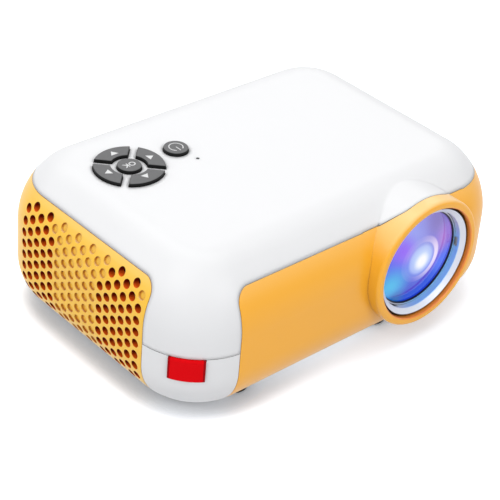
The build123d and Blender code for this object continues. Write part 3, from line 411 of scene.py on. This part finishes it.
# Painted shade in the blind dimples, where their walls are near.
dimple_nearness = node(yellow_tree, "AmbientOcclusion", {"samples": 6}, {"Distance": dimple_reach})
dimple_painted_shade = fade(yellow_tree, dimple_nearness.outputs["AO"], 0.88, 0.45)
paint_over(yellow_abs, dimple_painted_shade, dimple_painted_shade_brown)
dress(yellow_abs, "side_grille")
# The holes' walls: painted shade in dark red, and painted light in orange red where they look up.
hole_painted_shade_red = (0.2, 0.008, 0.001)
hole_painted_light_orange = (0.9, 0.12, 0.006)
hole_painted_shade = moulded("hole_painted_shade", hole_painted_shade_red, 0.5, Specular_IOR_Level=0.15)
paint_over(hole_painted_shade, facing_up(hole_painted_shade, 0.1, 1.1), hole_painted_light_orange)
hole_radius = 0.00138
hole_pitch = 0.004
hole_step = hole_pitch * cos(pi / 6)
hole_columns = 17
# These columns are blind all the way down, and these have so many blind ones at their top.
blind_columns = range(6, 12)
blind_tops = {0: 1, 5: 2, 12: 1}
first_column = -0.023125
first_row = 0.04
wall_tilt = 0.05
wall_slack = 1.05


def in_open_hole(centre, normal):
    """Whether a face is part of the wall of a hole that goes through, and not of a blind dimple."""
    column = round((centre.y - first_column) / hole_step)
    if abs(normal.x) > wall_tilt or not 0 <= column < hole_columns or column in blind_columns:
        return False
    lower = 0 if column % 2 else hole_pitch / 2
    row = round((first_row - lower - centre.z) / hole_pitch)
    axis = Vector((first_column + column * hole_step, first_row - lower - row * hole_pitch))
    near_wall = (centre.yz - axis).length < wall_slack * hole_radius
    return row >= blind_tops.get(column, 0) and near_wall


dress_where(hole_painted_shade, "side_grille", in_open_hole)

# Feet. Four round pads, stamped from black rubber with a rough face, so that the projector doesn't
# slide. They are pressed into beds in the underside.
foot_rubber = moulded(
    "foot_rubber", (0.008, 0.008, 0.008), 0.7, tone=0.2, grain=1500, depth=0.00003, Specular_IOR_Level=0.2
)
dress(foot_rubber, "rubber_feet")

# Lens mount. A silver-painted focus ring turns on a black tube and carries the barrel, whose front edge
# is silver too. All are moulded round one axis that looks out of the front. A dark line is painted at the
# ring's outer rim and round the glass as the shade of the gaps there, and the lens's blue light is
# painted on the ring and the edge at their lower right.
glass_radius = (glass_high.x - glass_low.x) / 2
lens_face = bpy.data.node_groups.new("lens_face", "ShaderNodeTree")
lens_face.interface.new_socket("Place", in_out="OUTPUT", socket_type="NodeSocketVector")
lens_face.interface.new_socket("Radius", in_out="OUTPUT", socket_type="NodeSocketFloat")
lens_out = lens_face.nodes.new("NodeGroupOutput").inputs
lens_point = node(lens_face, "TexCoord").outputs["Object"]
lens_centred = vector_sum(lens_face, "SUBTRACT", lens_point, glass_middle)[0]
lens_scale = (1 / glass_radius, 0, 1 / glass_radius)
lens_flat = vector_sum(lens_face, "MULTIPLY", lens_centred, lens_scale)[0]
lens_face.links.new(lens_flat, lens_out["Place"])
lens_face.links.new(vector_sum(lens_face, "LENGTH", lens_flat)["Value"], lens_out["Radius"])


def round_paint(material, *bands):
    """Paints bands of a finish round the lens, each from one radius in metres to the next in a colour.
    A band with a side is painted only towards that side."""
    tree = material.node_tree
    face = node(tree, "Group", {"node_tree": lens_face}).outputs
    for start, end, paint, side in bands:
        mask = fade(tree, face["Radius"], start / glass_radius, end / glass_radius)
        if side:
            towards = vector_sum(tree, "DOT_PRODUCT", face["Place"], side)["Value"]
            mask = sum_of(tree, "MULTIPLY", mask, fade(tree, towards, side_start, side_full))
        paint_over(material, mask, paint)


gap_painted_shade = (0.006, 0.006, 0.008)
painted_lens_light = (0.36, 0.68, 1.0)
lower_right = (0.75, 0, -0.66)
side_start = 0.2
side_full = 0.85
ring_low, ring_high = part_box("focus_ring")
ring_radius = (ring_high.x - ring_low.x) / 2
rim_width = 0.0004
rim_depth = 0.0002
rim_blur = 0.0001
painted_light_radius = 0.01675
painted_light_blur = 0.00007
ring_paint = moulded("ring_paint", (0.79, 0.82, 0.89), 0.4, corner=0.0002, Metallic=0.2)
# Painted on the ring: a dark line at its outer rim as the shade of the gap there, and the lens's blue
# light at its lower right.
round_paint(
    ring_paint,
    (ring_radius - rim_width, ring_radius - rim_width + rim_blur, gap_painted_shade, None),
    (painted_light_radius, painted_light_radius - painted_light_blur, painted_lens_light, lower_right),
)
dress(ring_paint, "focus_ring")
lens_black = moulded("lens_black", (0.012, 0.012, 0.015), 0.4)
dress(lens_black, "lens_tube", "lens_barrel")
rim_silver = moulded("rim_silver", (0.62, 0.63, 0.68), 0.3, corner=0.0001, Metallic=0.3)
# Painted on the barrel's front edge: the lens's blue light at its lower right, and a dark line round the
# glass as the shade of the gap there.
round_paint(
    rim_silver,
    (0, 0.001, painted_lens_light, lower_right),
    (glass_radius + 1.2 * rim_width, glass_radius + rim_width, gap_painted_shade, None),
)
barrel_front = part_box("lens_barrel")[0].y
dress_where(
    rim_silver,
    "lens_barrel",
    lambda centre, normal: normal.y < -0.5 and centre.y < barrel_front + rim_depth,
)

# Front glass. Its coating's reflections are painted into its glow, violet at the top and blue at the
# bottom. The projector is on in the photograph, so the lamp's light is painted shining from its middle,
# and the edges of the lenses behind it are painted as rings.
front_coating, coat_tree, coat_shader = new_material(
    "front_coating",
    {
        "Base Color": (0.01, 0.01, 0.02, 1),
        "Roughness": 0.04,
        "Alpha": 0.95,
        "Specular IOR Level": 0.25,
        "Coat Weight": 0.35,
        "Coat Roughness": 0.02,
        "Emission Strength": 0.95,
    },
)
coat_face = node(coat_tree, "Group", {"node_tree": lens_face}).outputs


def glass_spot(across, rise, reach, strength=1.0, core=0.0):
    """A soft round spot on the glass, at a place in lens radii."""
    away = vector_sum(coat_tree, "DISTANCE", coat_face["Place"], (across, 0, rise))["Value"]
    return sum_of(coat_tree, "MULTIPLY", fade(coat_tree, away, reach, core), strength)


coat_slope = (0.13, 0, 0.48)
coat_rise = vector_sum(coat_tree, "DOT_PRODUCT", coat_face["Place"], coat_slope)["Value"]
coat_level = sum_of(coat_tree, "ADD", coat_rise, 0.5, clamp=True)
coat_ramp = node(coat_tree, "ValToRGB", None, {"Fac": coat_level})
coat_steps = coat_ramp.color_ramp.elements
coat_ramp.color_ramp.interpolation = "EASE"
coat_steps[0].position = 0.15
coat_steps[0].color = (0.008, 0.05, 0.62, 1)
coat_steps[1].position = 0.9
coat_steps[1].color = (0.24, 0.2, 0.62, 1)
coat_steps.new(0.45).color = (0.09, 0.14, 0.85, 1)
painted_glow_colour = coat_ramp.outputs["Color"]
# Painted reflections of the coating, laid into the glow as soft spots.
for across, rise, reach, painted_reflection_colour in (
    (-0.3, 0.7, 0.75, (0.3, 0.34, 0.88)),
    (0.5, 0.75, 0.5, (0.2, 0.15, 0.5)),
    (0.72, 0.22, 0.5, (0.38, 0.17, 0.66)),
    (-0.5, 0.36, 0.45, (0.28, 0.1, 0.92)),
    (-0.7, -0.42, 0.6, (0.06, 0.5, 0.84)),
    (-0.5, -0.86, 0.35, (0.008, 0.12, 0.42)),
    (0.3, -0.75, 0.5, (0.006, 0.04, 0.66)),
):
    spot = glass_spot(across, rise, reach)
    painted_glow_colour = layer(coat_tree, spot, painted_glow_colour, (*painted_reflection_colour, 1))
inside_disc = fade(coat_tree, coat_face["Radius"], 0.36, 0.28)
inner_disc = sum_of(coat_tree, "MULTIPLY", inside_disc, 0.45)
outside_ring = fade(coat_tree, coat_face["Radius"], 0.37, 0.41)
inside_ring = fade(coat_tree, coat_face["Radius"], 0.54, 0.49)
ring_band = sum_of(coat_tree, "MULTIPLY", outside_ring, inside_ring)
ring_light = sum_of(coat_tree, "ADD", glass_spot(0.4, -0.05, 0.75, 0.85), 0.06, clamp=True)
inner_ring = sum_of(coat_tree, "MULTIPLY", ring_band, ring_light)
lamp_halo = glass_spot(0.02, 0.0, 0.5, 0.85)
lamp_core = glass_spot(0.03, -0.05, 0.24, 1.0, 0.07)
# Painted light: the edges of the lenses behind as rings, and the lamp's halo and core, laid into the glow.
for light_mask, light_colour in (
    (inner_disc, (0.4, 0.55, 1.0)),
    (inner_ring, (0.95, 0.78, 0.95)),
    (lamp_halo, (0.72, 0.88, 1.0)),
    (lamp_core, (1.0, 1.0, 1.0)),
):
    painted_glow_colour = layer(coat_tree, light_mask, painted_glow_colour, (*light_colour, 1))
coat_tree.links.new(painted_glow_colour, coat_shader.inputs["Emission Color"])
dress(front_coating, "front_glass")

# Inner glasses. The middle lens sits behind the front one in the barrel and the small one at its tail,
# both ground from clear glass with a blue coating, on which a little of the lamp's light is painted as a
# faint blue glow.
inner_coating = moulded(
    "inner_coating",
    (0.03, 0.12, 0.5),
    0.05,
    corner=0.0001,
    Alpha=0.8,
    Emission_Color=(0.2, 0.35, 0.9, 1),
    Emission_Strength=0.4,
)
dress(inner_coating, "middle_glass", "rear_glass")

# Keys. Caps of dark moulded rubber, grey where their faces look up, stand in wells of the top cover, and
# travel down on their switches.
cap_grey = (0.145, 0.145, 0.147)
key_rubber = moulded("key_rubber", (0.006, 0.006, 0.006), 0.5, Specular_IOR_Level=0.15)
# The caps are grey where their faces look up, and near black on their sides.
paint_over(key_rubber, facing_up(key_rubber, 0.4, 0.8), cap_grey)
dress(key_rubber, "right_key", "back_key", "left_key", "forward_key", "ok_key", "power_key")

# Marks on the keys. Pale paint, printed on the caps: an arrowhead on each of the four round the pad,
# OK on the middle one and a power sign on the one beside them.
mark_paint = moulded("mark_paint", (0.75, 0.75, 0.75), 0.5, grain=4000)
mark_height = 0.00003
ok_low, ok_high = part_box("ok_key")
pad_middle = (ok_low + ok_high) / 2
arrow_base = 0.0071
arrow_tip = 0.0092
arrow_width = 0.0027


def closed_mesh(build, name, material):
    """A mesh of one material from a closed build, with its faces turned outward."""
    bmesh.ops.recalc_face_normals(build, faces=build.faces)
    mesh = bpy.data.meshes.new(name)
    build.to_mesh(mesh)
    build.free()
    mesh.materials.append(material)
    return mesh


def printed(name, outlines, level, key):
    """Thin raised paint on a key, from outlines given counter-clockwise in metres."""
    build = bmesh.new()
    for outline in outlines:
        face = build.faces.new([build.verts.new((x, y, level)) for x, y in outline])
        raised = bmesh.ops.extrude_face_region(build, geom=[face])["geom"]
        lifted = [corner for corner in raised if isinstance(corner, bmesh.types.BMVert)]
        bmesh.ops.translate(build, vec=(0, 0, mark_height), verts=lifted)
    mark = add_object(name, closed_mesh(build, name, mark_paint))
    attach(mark, key)


def quarter_axes(quarter):
    """The directions along and across an arm that points to a quarter of the circle."""
    along = Vector((cos(quarter * pi / 2), sin(quarter * pi / 2)))
    return along, Vector((-along.y, along.x))


for quarter, key in enumerate(("right_key", "back_key", "left_key", "forward_key")):
    along, across = quarter_axes(quarter)
    aside = across * arrow_width / 2
    corners = (along * arrow_tip, along * arrow_base + aside, along * arrow_base - aside)
    outline = [pad_middle.xy + corner for corner in corners]
    printed(key.replace("key", "arrow"), [outline], ok_high.z, key)

power_low, power_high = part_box("power_key")
power_middle = (power_low + power_high) / 2
sign_radius = 0.0022
sign_line = 0.00034
sign_gap = 0.55
sign_steps = 32
sign_turn = 2 * pi - 2 * sign_gap
turns = [-pi / 2 + sign_gap + sign_turn * step / sign_steps for step in range(sign_steps + 1)]
round_turns = [(sign_radius + sign_line / 2, turn) for turn in turns]
round_turns += [(sign_radius - sign_line / 2, turn) for turn in reversed(turns)]
power_arc = [
    (power_middle.x + radius * cos(turn), power_middle.y + radius * sin(turn))
    for radius, turn in round_turns
]
bar_corners = ((-0.5, -1.1), (0.5, -1.1), (0.5, 0.0), (-0.5, 0.0))
power_bar = [
    (power_middle.x + x * sign_line, power_middle.y + y * sign_radius) for x, y in bar_corners
]
printed("power_sign", [power_arc, power_bar], power_high.z, "power_key")

letters = bpy.data.curves.new("ok_letters", "FONT")
letters.body = "OK"
letters.size = 0.0029
letters.align_x = "CENTER"
letters.align_y = "CENTER"
letters.extrude = mark_height
letters.offset = 0.00006
letters.materials.append(mark_paint)
ok_letters = add_object("ok_letters", letters)
ok_letters.location = (pad_middle.x, pad_middle.y, ok_high.z)
ok_letters.rotation_euler = (0, 0, pi)
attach(ok_letters, "ok_key")

# Status lamp. A round pin of clear plastic, pressed into the cover and flush with it. It leads the
# light of a small lamp out, and looks dark while that is off.
lamp_clear = moulded("lamp_clear", (0.006, 0.006, 0.008), 0.3, corner=0.0001, Specular_IOR_Level=0.2)
dress(lamp_clear, "status_lamp")

# Seam tag. A short loop of red woven tape, folded at its lower end, with both ends caught in the
# seam between the shells at the front left corner. Its edges are woven closer and look darker.
corner_radius = 0.0224
shell_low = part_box("bottom_shell")[0]
tag_low, tag_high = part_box("seam_tag")
corner_x = shell_low.x + corner_radius
corner_y = shell_low.y + corner_radius
tag_turn = radians(223.0)
tag_width = 0.0107
tag_steps = 28
tape_thickness = 0.00018
fold_clearance = 0.0007
seam_clearance = 0.00012
inner_gap = 0.00045
outer_gap = 0.0008
tuck_depth = 0.0014
layer_gap = 0.0002
tape_belly = 0.0002
edge_share = 0.5
tape_bottom = tag_low.z + fold_clearance
tape_top = tag_high.z - seam_clearance
inner_layer = corner_radius + inner_gap
outer_layer = corner_radius + outer_gap
tucked = corner_radius - tuck_depth
fold_radius = (outer_layer - inner_layer) / 2
fold_level = tape_bottom + fold_radius + tape_thickness / 2
strip_steps = 10
fold_steps = 8
inner_top = tape_top - layer_gap
tape_path = [(tucked, inner_top), (inner_layer - layer_gap, inner_top)]
for step in range(strip_steps + 1):
    drop = (fold_level - inner_top + layer_gap) * step / strip_steps
    tape_path.append((inner_layer, inner_top - layer_gap + drop))
for step in range(1, fold_steps):
    turn = pi * step / fold_steps
    swing = fold_radius * (1 - cos(turn))
    tape_path.append((inner_layer + swing, fold_level - fold_radius * sin(turn)))
for step in range(strip_steps + 1):
    climb = (tape_top - layer_gap - fold_level) * step / strip_steps
    tape_path.append((outer_layer, fold_level + climb))
tape_path += [(outer_layer - 1.2 * layer_gap, tape_top), (tucked, tape_top)]


def tape_mesh(material):
    """The tape as a thin closed sheet along its path, bent round the corner, with its width and
    length as a map for the weave, and the tape's length."""
    points = [Vector(point) for point in tape_path]
    last = len(points) - 1
    run = [0.0]
    for before, after in zip(points, points[1:]):
        run.append(run[-1] + (after - before).length)
    build = bmesh.new()
    corners, places = [], []
    for side in (1, -1):
        for index, point in enumerate(points):
            direction = (points[min(index + 1, last)] - points[max(index - 1, 0)]).normalized()
            for step in range(tag_steps + 1):
                share = step / tag_steps
                half = tape_thickness / 2 * (edge_share if step in (0, tag_steps) else 1.0)
                radius = point.x + direction.y * half * side
                height = point.y - direction.x * half * side
                hang = (tape_top - height) / (tape_top - tape_bottom)
                radius += tape_belly * hang**2 * (1 - (2 * share - 1) ** 2)
                turn = tag_turn + (share - 0.5) * tag_width / corner_radius
                place = (corner_x + radius * cos(turn), corner_y + radius * sin(turn), height)
                corners.append(build.verts.new(place))
                places.append((share * tag_width, run[index]))
    row = tag_steps + 1
    other = row * len(points)
    faces = []
    for index in range(last):
        for step in range(tag_steps):
            near = index * row + step
            far = other + near
            faces.append((near, near + 1, near + row + 1, near + row))
            faces.append((far, far + row, far + row + 1, far + 1))
        for edge in (0, tag_steps):
            near = index * row + edge
            far = other + near
            faces.append((near, near + row, far + row, far))
    for index in (0, last):
        for step in range(tag_steps):
            near = index * row + step
            far = other + near
            faces.append((near, far, far + 1, near + 1))
    for face in faces:
        build.faces.new([corners[corner] for corner in face])
    mesh = closed_mesh(build, "woven_tag", material)
    weave = mesh.uv_layers.new(name="weave")
    for loop in mesh.loops:
        weave.data[loop.index].uv = places[loop.vertex_index]
    mesh.polygons.foreach_set("use_smooth", [True] * len(mesh.polygons))
    return mesh, run[-1]


red_tape, tape_tree, tape_shader = new_material("red_tape", {"Roughness": 0.7, "Specular IOR Level": 0.08})
tape_place = node(tape_tree, "UVMap", {"uv_map": "weave"}).outputs[0]
thread_width = 0.00024
thread_relief = 0.00004
thread_low = (0.72, 0.0, 0.003, 1)
thread_high = (1.0, 0.001, 0.006, 1)
selvedge_red = (0.36, 0.0, 0.003, 1)
selvedge_start = tag_width / 2 - 0.0008
selvedge_full = tag_width / 2 - 0.0005
ribs = []
for direction in ("X", "Y"):
    wave = {"Vector": tape_place, "Scale": pi / 10 / thread_width, "Distortion": 0.5, "Detail": 1.0}
    ribs.append(node(tape_tree, "TexWave", {"bands_direction": direction}, wave).outputs["Fac"])
thread_height = sum_of(tape_tree, "MULTIPLY", ribs[0], ribs[1])
thread_colour = layer(tape_tree, thread_height, thread_low, thread_high)
tape_across = node(tape_tree, "SeparateXYZ", None, {0: tape_place}).outputs["X"]
from_middle = sum_of(tape_tree, "ABSOLUTE", sum_of(tape_tree, "SUBTRACT", tape_across, tag_width / 2))
selvedge = fade(tape_tree, from_middle, selvedge_start, selvedge_full)
tape_colour = layer(tape_tree, selvedge, thread_colour, selvedge_red)
tape_relief = {"Strength": 0.8, "Distance": thread_relief, "Height": thread_height}
tape_bump = node(tape_tree, "Bump", None, tape_relief)
tape_tree.links.new(tape_colour, tape_shader.inputs["Base Color"])
tape_tree.links.new(tape_bump.outputs[0], tape_shader.inputs["Normal"])
tag_mesh, tape_length = tape_mesh(red_tape)
woven_tag = add_object("woven_tag", tag_mesh)
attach(woven_tag, "housing")
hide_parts("seam_tag")

# Case screws. Four pan-head screws of zinc-plated steel hold the shells together from below. Each has a
# crossed recess, which is cut here for its looks.
zinc_steel = moulded("zinc_steel", (0.52, 0.52, 0.54), 0.32, tone=0.15, corner=0.0001, Metallic=1.0)
screws_low, screws_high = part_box("case_screws")
head_height = 0.0016
head_radius = 0.0022
head_bevel = 0.0003
face_share = 0.9
shank_radius = 0.00125
tip_length = 0.001
tip_share = 0.3
cross_reach = 0.0013
cross_arm = 0.0003
cross_depth = 0.0010
foot_reach = cross_reach * 0.5
foot_arm = cross_arm * 0.7
round_steps = 24
face_level = screws_low.z
screw_profile = (
    (head_radius * face_share, face_level),
    (head_radius, face_level + head_bevel),
    (head_radius, face_level + head_height),
    (shank_radius, face_level + head_height),
    (shank_radius, screws_high.z - tip_length),
    (shank_radius * tip_share, screws_high.z),
)


def ring_of_points(build, centre, radii, level):
    """A ring of points at a height, one for each radius."""
    points = []
    for step, radius in enumerate(radii):
        turn = 2 * pi * step / len(radii)
        place = (centre.x + radius * cos(turn), centre.y + radius * sin(turn), level)
        points.append(build.verts.new(place))
    return points


def neighbours(ring):
    """Each point of a ring with the next one."""
    return zip(ring, ring[1:] + ring[:1])


def bridge(build, lower, upper):
    """Faces between two rings of as many points."""
    for (low, low_next), (high, high_next) in zip(neighbours(lower), neighbours(upper)):
        build.faces.new((low, low_next, high_next, high))


def cross_outline(build, centre, reach, arm, level):
    """The twelve corners of a cross at a height."""
    points = []
    for quarter in range(4):
        along, across = quarter_axes(quarter)
        for x, y in ((reach, -arm), (reach, arm), (arm, arm)):
            point = centre.xy + along * x + across * y
            points.append(build.verts.new((point.x, point.y, level)))
    return points


screw_x = screws_high.x - head_radius
screw_rows = (screws_low.y + head_radius, screws_high.y - head_radius)
screw_build = bmesh.new()
for screw_at in [Vector((x, y, 0)) for x in (-screw_x, screw_x) for y in screw_rows]:
    rings = [
        ring_of_points(screw_build, screw_at, [radius] * round_steps, level)
        for radius, level in screw_profile
    ]
    for lower, upper in zip(rings, rings[1:]):
        bridge(screw_build, lower, upper)
    screw_build.faces.new(rings[-1])
    mouth = cross_outline(screw_build, screw_at, cross_reach, cross_arm, face_level)
    foot = cross_outline(screw_build, screw_at, foot_reach, foot_arm, face_level + cross_depth)
    bridge(screw_build, mouth, foot)
    screw_build.faces.new(foot)
    edges = [screw_build.edges.get(pair) for ring in (rings[0], mouth) for pair in neighbours(ring)]
    bmesh.ops.triangle_fill(screw_build, use_beauty=True, edges=edges)
cross_screws = add_object("cross_screws", closed_mesh(screw_build, "cross_screws", zinc_steel))
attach(cross_screws, "housing")
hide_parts("case_screws")

# Tripod nut. A turned brass insert in the middle of the underside, with a quarter-inch thread of 1.27 mm
# pitch cut into it for a tripod's screw.
nut_brass = moulded("nut_brass", (0.72, 0.5, 0.2), 0.28, tone=0.1, corner=0.0001, Metallic=1.0)
nut_low, nut_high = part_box("tripod_nut")
nut_middle = (nut_low + nut_high) / 2
nut_radius = (nut_high.x - nut_low.x) / 2
crest_radius = 0.00255
root_radius = 0.0031
thread_pitch = 0.00127
thread_rows = 42
thread_steps = 40
nut_build = bmesh.new()
nut_rings = []
for row_index in range(thread_rows + 1):
    rise = (nut_high.z - nut_low.z) * row_index / thread_rows
    row_level = nut_low.z + rise
    radii = []
    for step in range(thread_steps):
        phase = ((row_level - nut_low.z) / thread_pitch - step / thread_steps) % 1.0
        radii.append(crest_radius + (root_radius - crest_radius) * (1 - abs(2 * phase - 1)))
    nut_rings.append(ring_of_points(nut_build, nut_middle, radii, row_level))
for end_level in (nut_high.z, nut_low.z):
    nut_rings.append(ring_of_points(nut_build, nut_middle, [nut_radius] * thread_steps, end_level))
for lower, upper in neighbours(nut_rings):
    bridge(nut_build, lower, upper)
threaded_nut = add_object("threaded_nut", closed_mesh(nut_build, "threaded_nut", nut_brass))
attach(threaded_nut, "housing")
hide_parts("tripod_nut")

# Sockets. Folded steel shells for picture and data, each with a plastic tongue, a card slot above the
# board, and two black round ones for sound with picture and for power. All are soldered to the board.
shell_steel = moulded("shell_steel", (0.6, 0.6, 0.62), 0.25, tone=0.08, corner=0.0001, Metallic=1.0)
socket_black = moulded("socket_black", (0.015, 0.015, 0.016), 0.45)
pin_steel = moulded("pin_steel", (0.62, 0.62, 0.64), 0.2, corner=0.0001, Metallic=1.0)
tongue_white = moulded("tongue_white", (0.75, 0.75, 0.72), 0.4)
dress(shell_steel, "hdmi_socket", "usb_socket", "card_slot")
dress(socket_black, "av_socket", "power_inlet")
tongue_side = 0.0019
inlet_height = 0.004
inlet_pin = 0.0012
av_height = 0.003
av_sleeve = 0.0019
av_mouth = 0.003


def tongue_of(name, tongue_low, tongue_high, plastic):
    """Gives the tongue between two heights in a socket its plastic."""
    low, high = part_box(name)
    middle_x = (low.x + high.x) / 2
    half = (high.x - low.x) / 2 - tongue_side
    dress_where(
        plastic,
        name,
        lambda centre, normal: abs(centre.x - middle_x) < half
        and tongue_low < centre.z - low.z < tongue_high,
    )


def socket_axis(name, height):
    """Where a round socket's axis lies, across and up, from its height over the board."""
    low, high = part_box(name)
    return Vector(((low.x + high.x) / 2, low.z + height))


tongue_of("hdmi_socket", 0.0021, 0.0035, socket_black)
tongue_of("usb_socket", 0.0030, 0.0048, tongue_white)
inlet_axis = socket_axis("power_inlet", inlet_height)
dress_where(
    pin_steel,
    "power_inlet",
    lambda centre, normal: (centre.xz - inlet_axis).length < inlet_pin,
)
av_axis = socket_axis("av_socket", av_height)
sleeve_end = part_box("av_socket")[1].y - av_mouth
dress_where(
    pin_steel,
    "av_socket",
    lambda centre, normal: centre.y < sleeve_end and (centre.xz - av_axis).length < av_sleeve,
)

# Boards. Two green circuit boards with printed tracks: the main one behind the sockets and the small
# one that carries the key switches, each held by screws.
track_green = (0.03, 0.26, 0.1)
board_green = moulded("board_green", (0.012, 0.13, 0.05), 0.35, tone=0.5, Coat_Weight=0.4)
board_place = node(board_green.node_tree, "TexCoord").outputs["Object"]
track_grid = {"Vector": board_place, "Scale": 260.0, "Mortar Size": 0.03}
board_tracks = node(board_green.node_tree, "TexBrick", None, track_grid).outputs["Fac"]
paint_over(board_green, board_tracks, track_green)
dress(board_green, "main_board", "key_board")
dress(zinc_steel, "board_screws", "key_board_screws", "engine_screws")
dress(socket_black, "key_switches", "ir_receiver")

# Remote control's window. A moulded disc of dark red plastic, clear to infrared light, pressed into the
# rear panel.
ir_plastic = moulded("ir_plastic", (0.02, 0.001, 0.003), 0.2, corner=0.0001, Specular_IOR_Level=0.3)
dress(ir_plastic, "ir_window")

# Light engine. A matt black moulded box with its lid, in which a silvered cone, clear lenses, a heat
# glass, the small screen and a tilted mirror stand in the light's path.
dress(lens_black, "engine_housing", "engine_lid")
mirror_silver = moulded(
    "mirror_silver", (0.9, 0.9, 0.92), 0.04, tone=0.01, depth=0.000001, corner=0.0001, Metallic=1.0
)
dress(mirror_silver, "mirror", "light_cone")
clear_glass = moulded(
    "clear_glass", (0.95, 0.97, 0.97), 0.04, tone=0.01, corner=0.0001, Transmission_Weight=1.0, IOR=1.5
)
dress(clear_glass, "condenser_lens", "heat_glass", "field_lens")
screen_glass = moulded("screen_glass", (0.03, 0.04, 0.05), 0.1, corner=0.0001, Coat_Weight=1.0)
dress(screen_glass, "lcd_panel")

# Lamp and its cooling. A white lamp board with a dome of yellow phosphor on an aluminium sink with nine
# fins, which the fan behind the grille blows through.
lamp_white = moulded("lamp_white", (0.8, 0.8, 0.78), 0.4)
lamp_phosphor = moulded("lamp_phosphor", (0.9, 0.62, 0.05), 0.3, Coat_Weight=0.6)
dress(lamp_white, "led_module")
lamp_board_thickness = 0.0018
lamp_board_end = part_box("led_module")[0].x + lamp_board_thickness
dress_where(lamp_phosphor, "led_module", lambda centre, normal: centre.x > lamp_board_end)
sink_aluminium = moulded("sink_aluminium", (0.7, 0.71, 0.73), 0.35, tone=0.1, corner=0.0001, Metallic=1.0)
dress(sink_aluminium, "heat_sink")
fan_black = moulded("fan_black", (0.018, 0.018, 0.02), 0.4)
dress(fan_black, "fan_frame", "fan_rotor")

# Speaker. A pressed steel basket with a black paper cone and a magnet at its back, held behind the
# slots in the right end.
speaker_paper = moulded("speaker_paper", (0.02, 0.02, 0.02), 0.8, tone=0.3, grain=900, depth=0.00006)
dress(speaker_paper, "speaker")
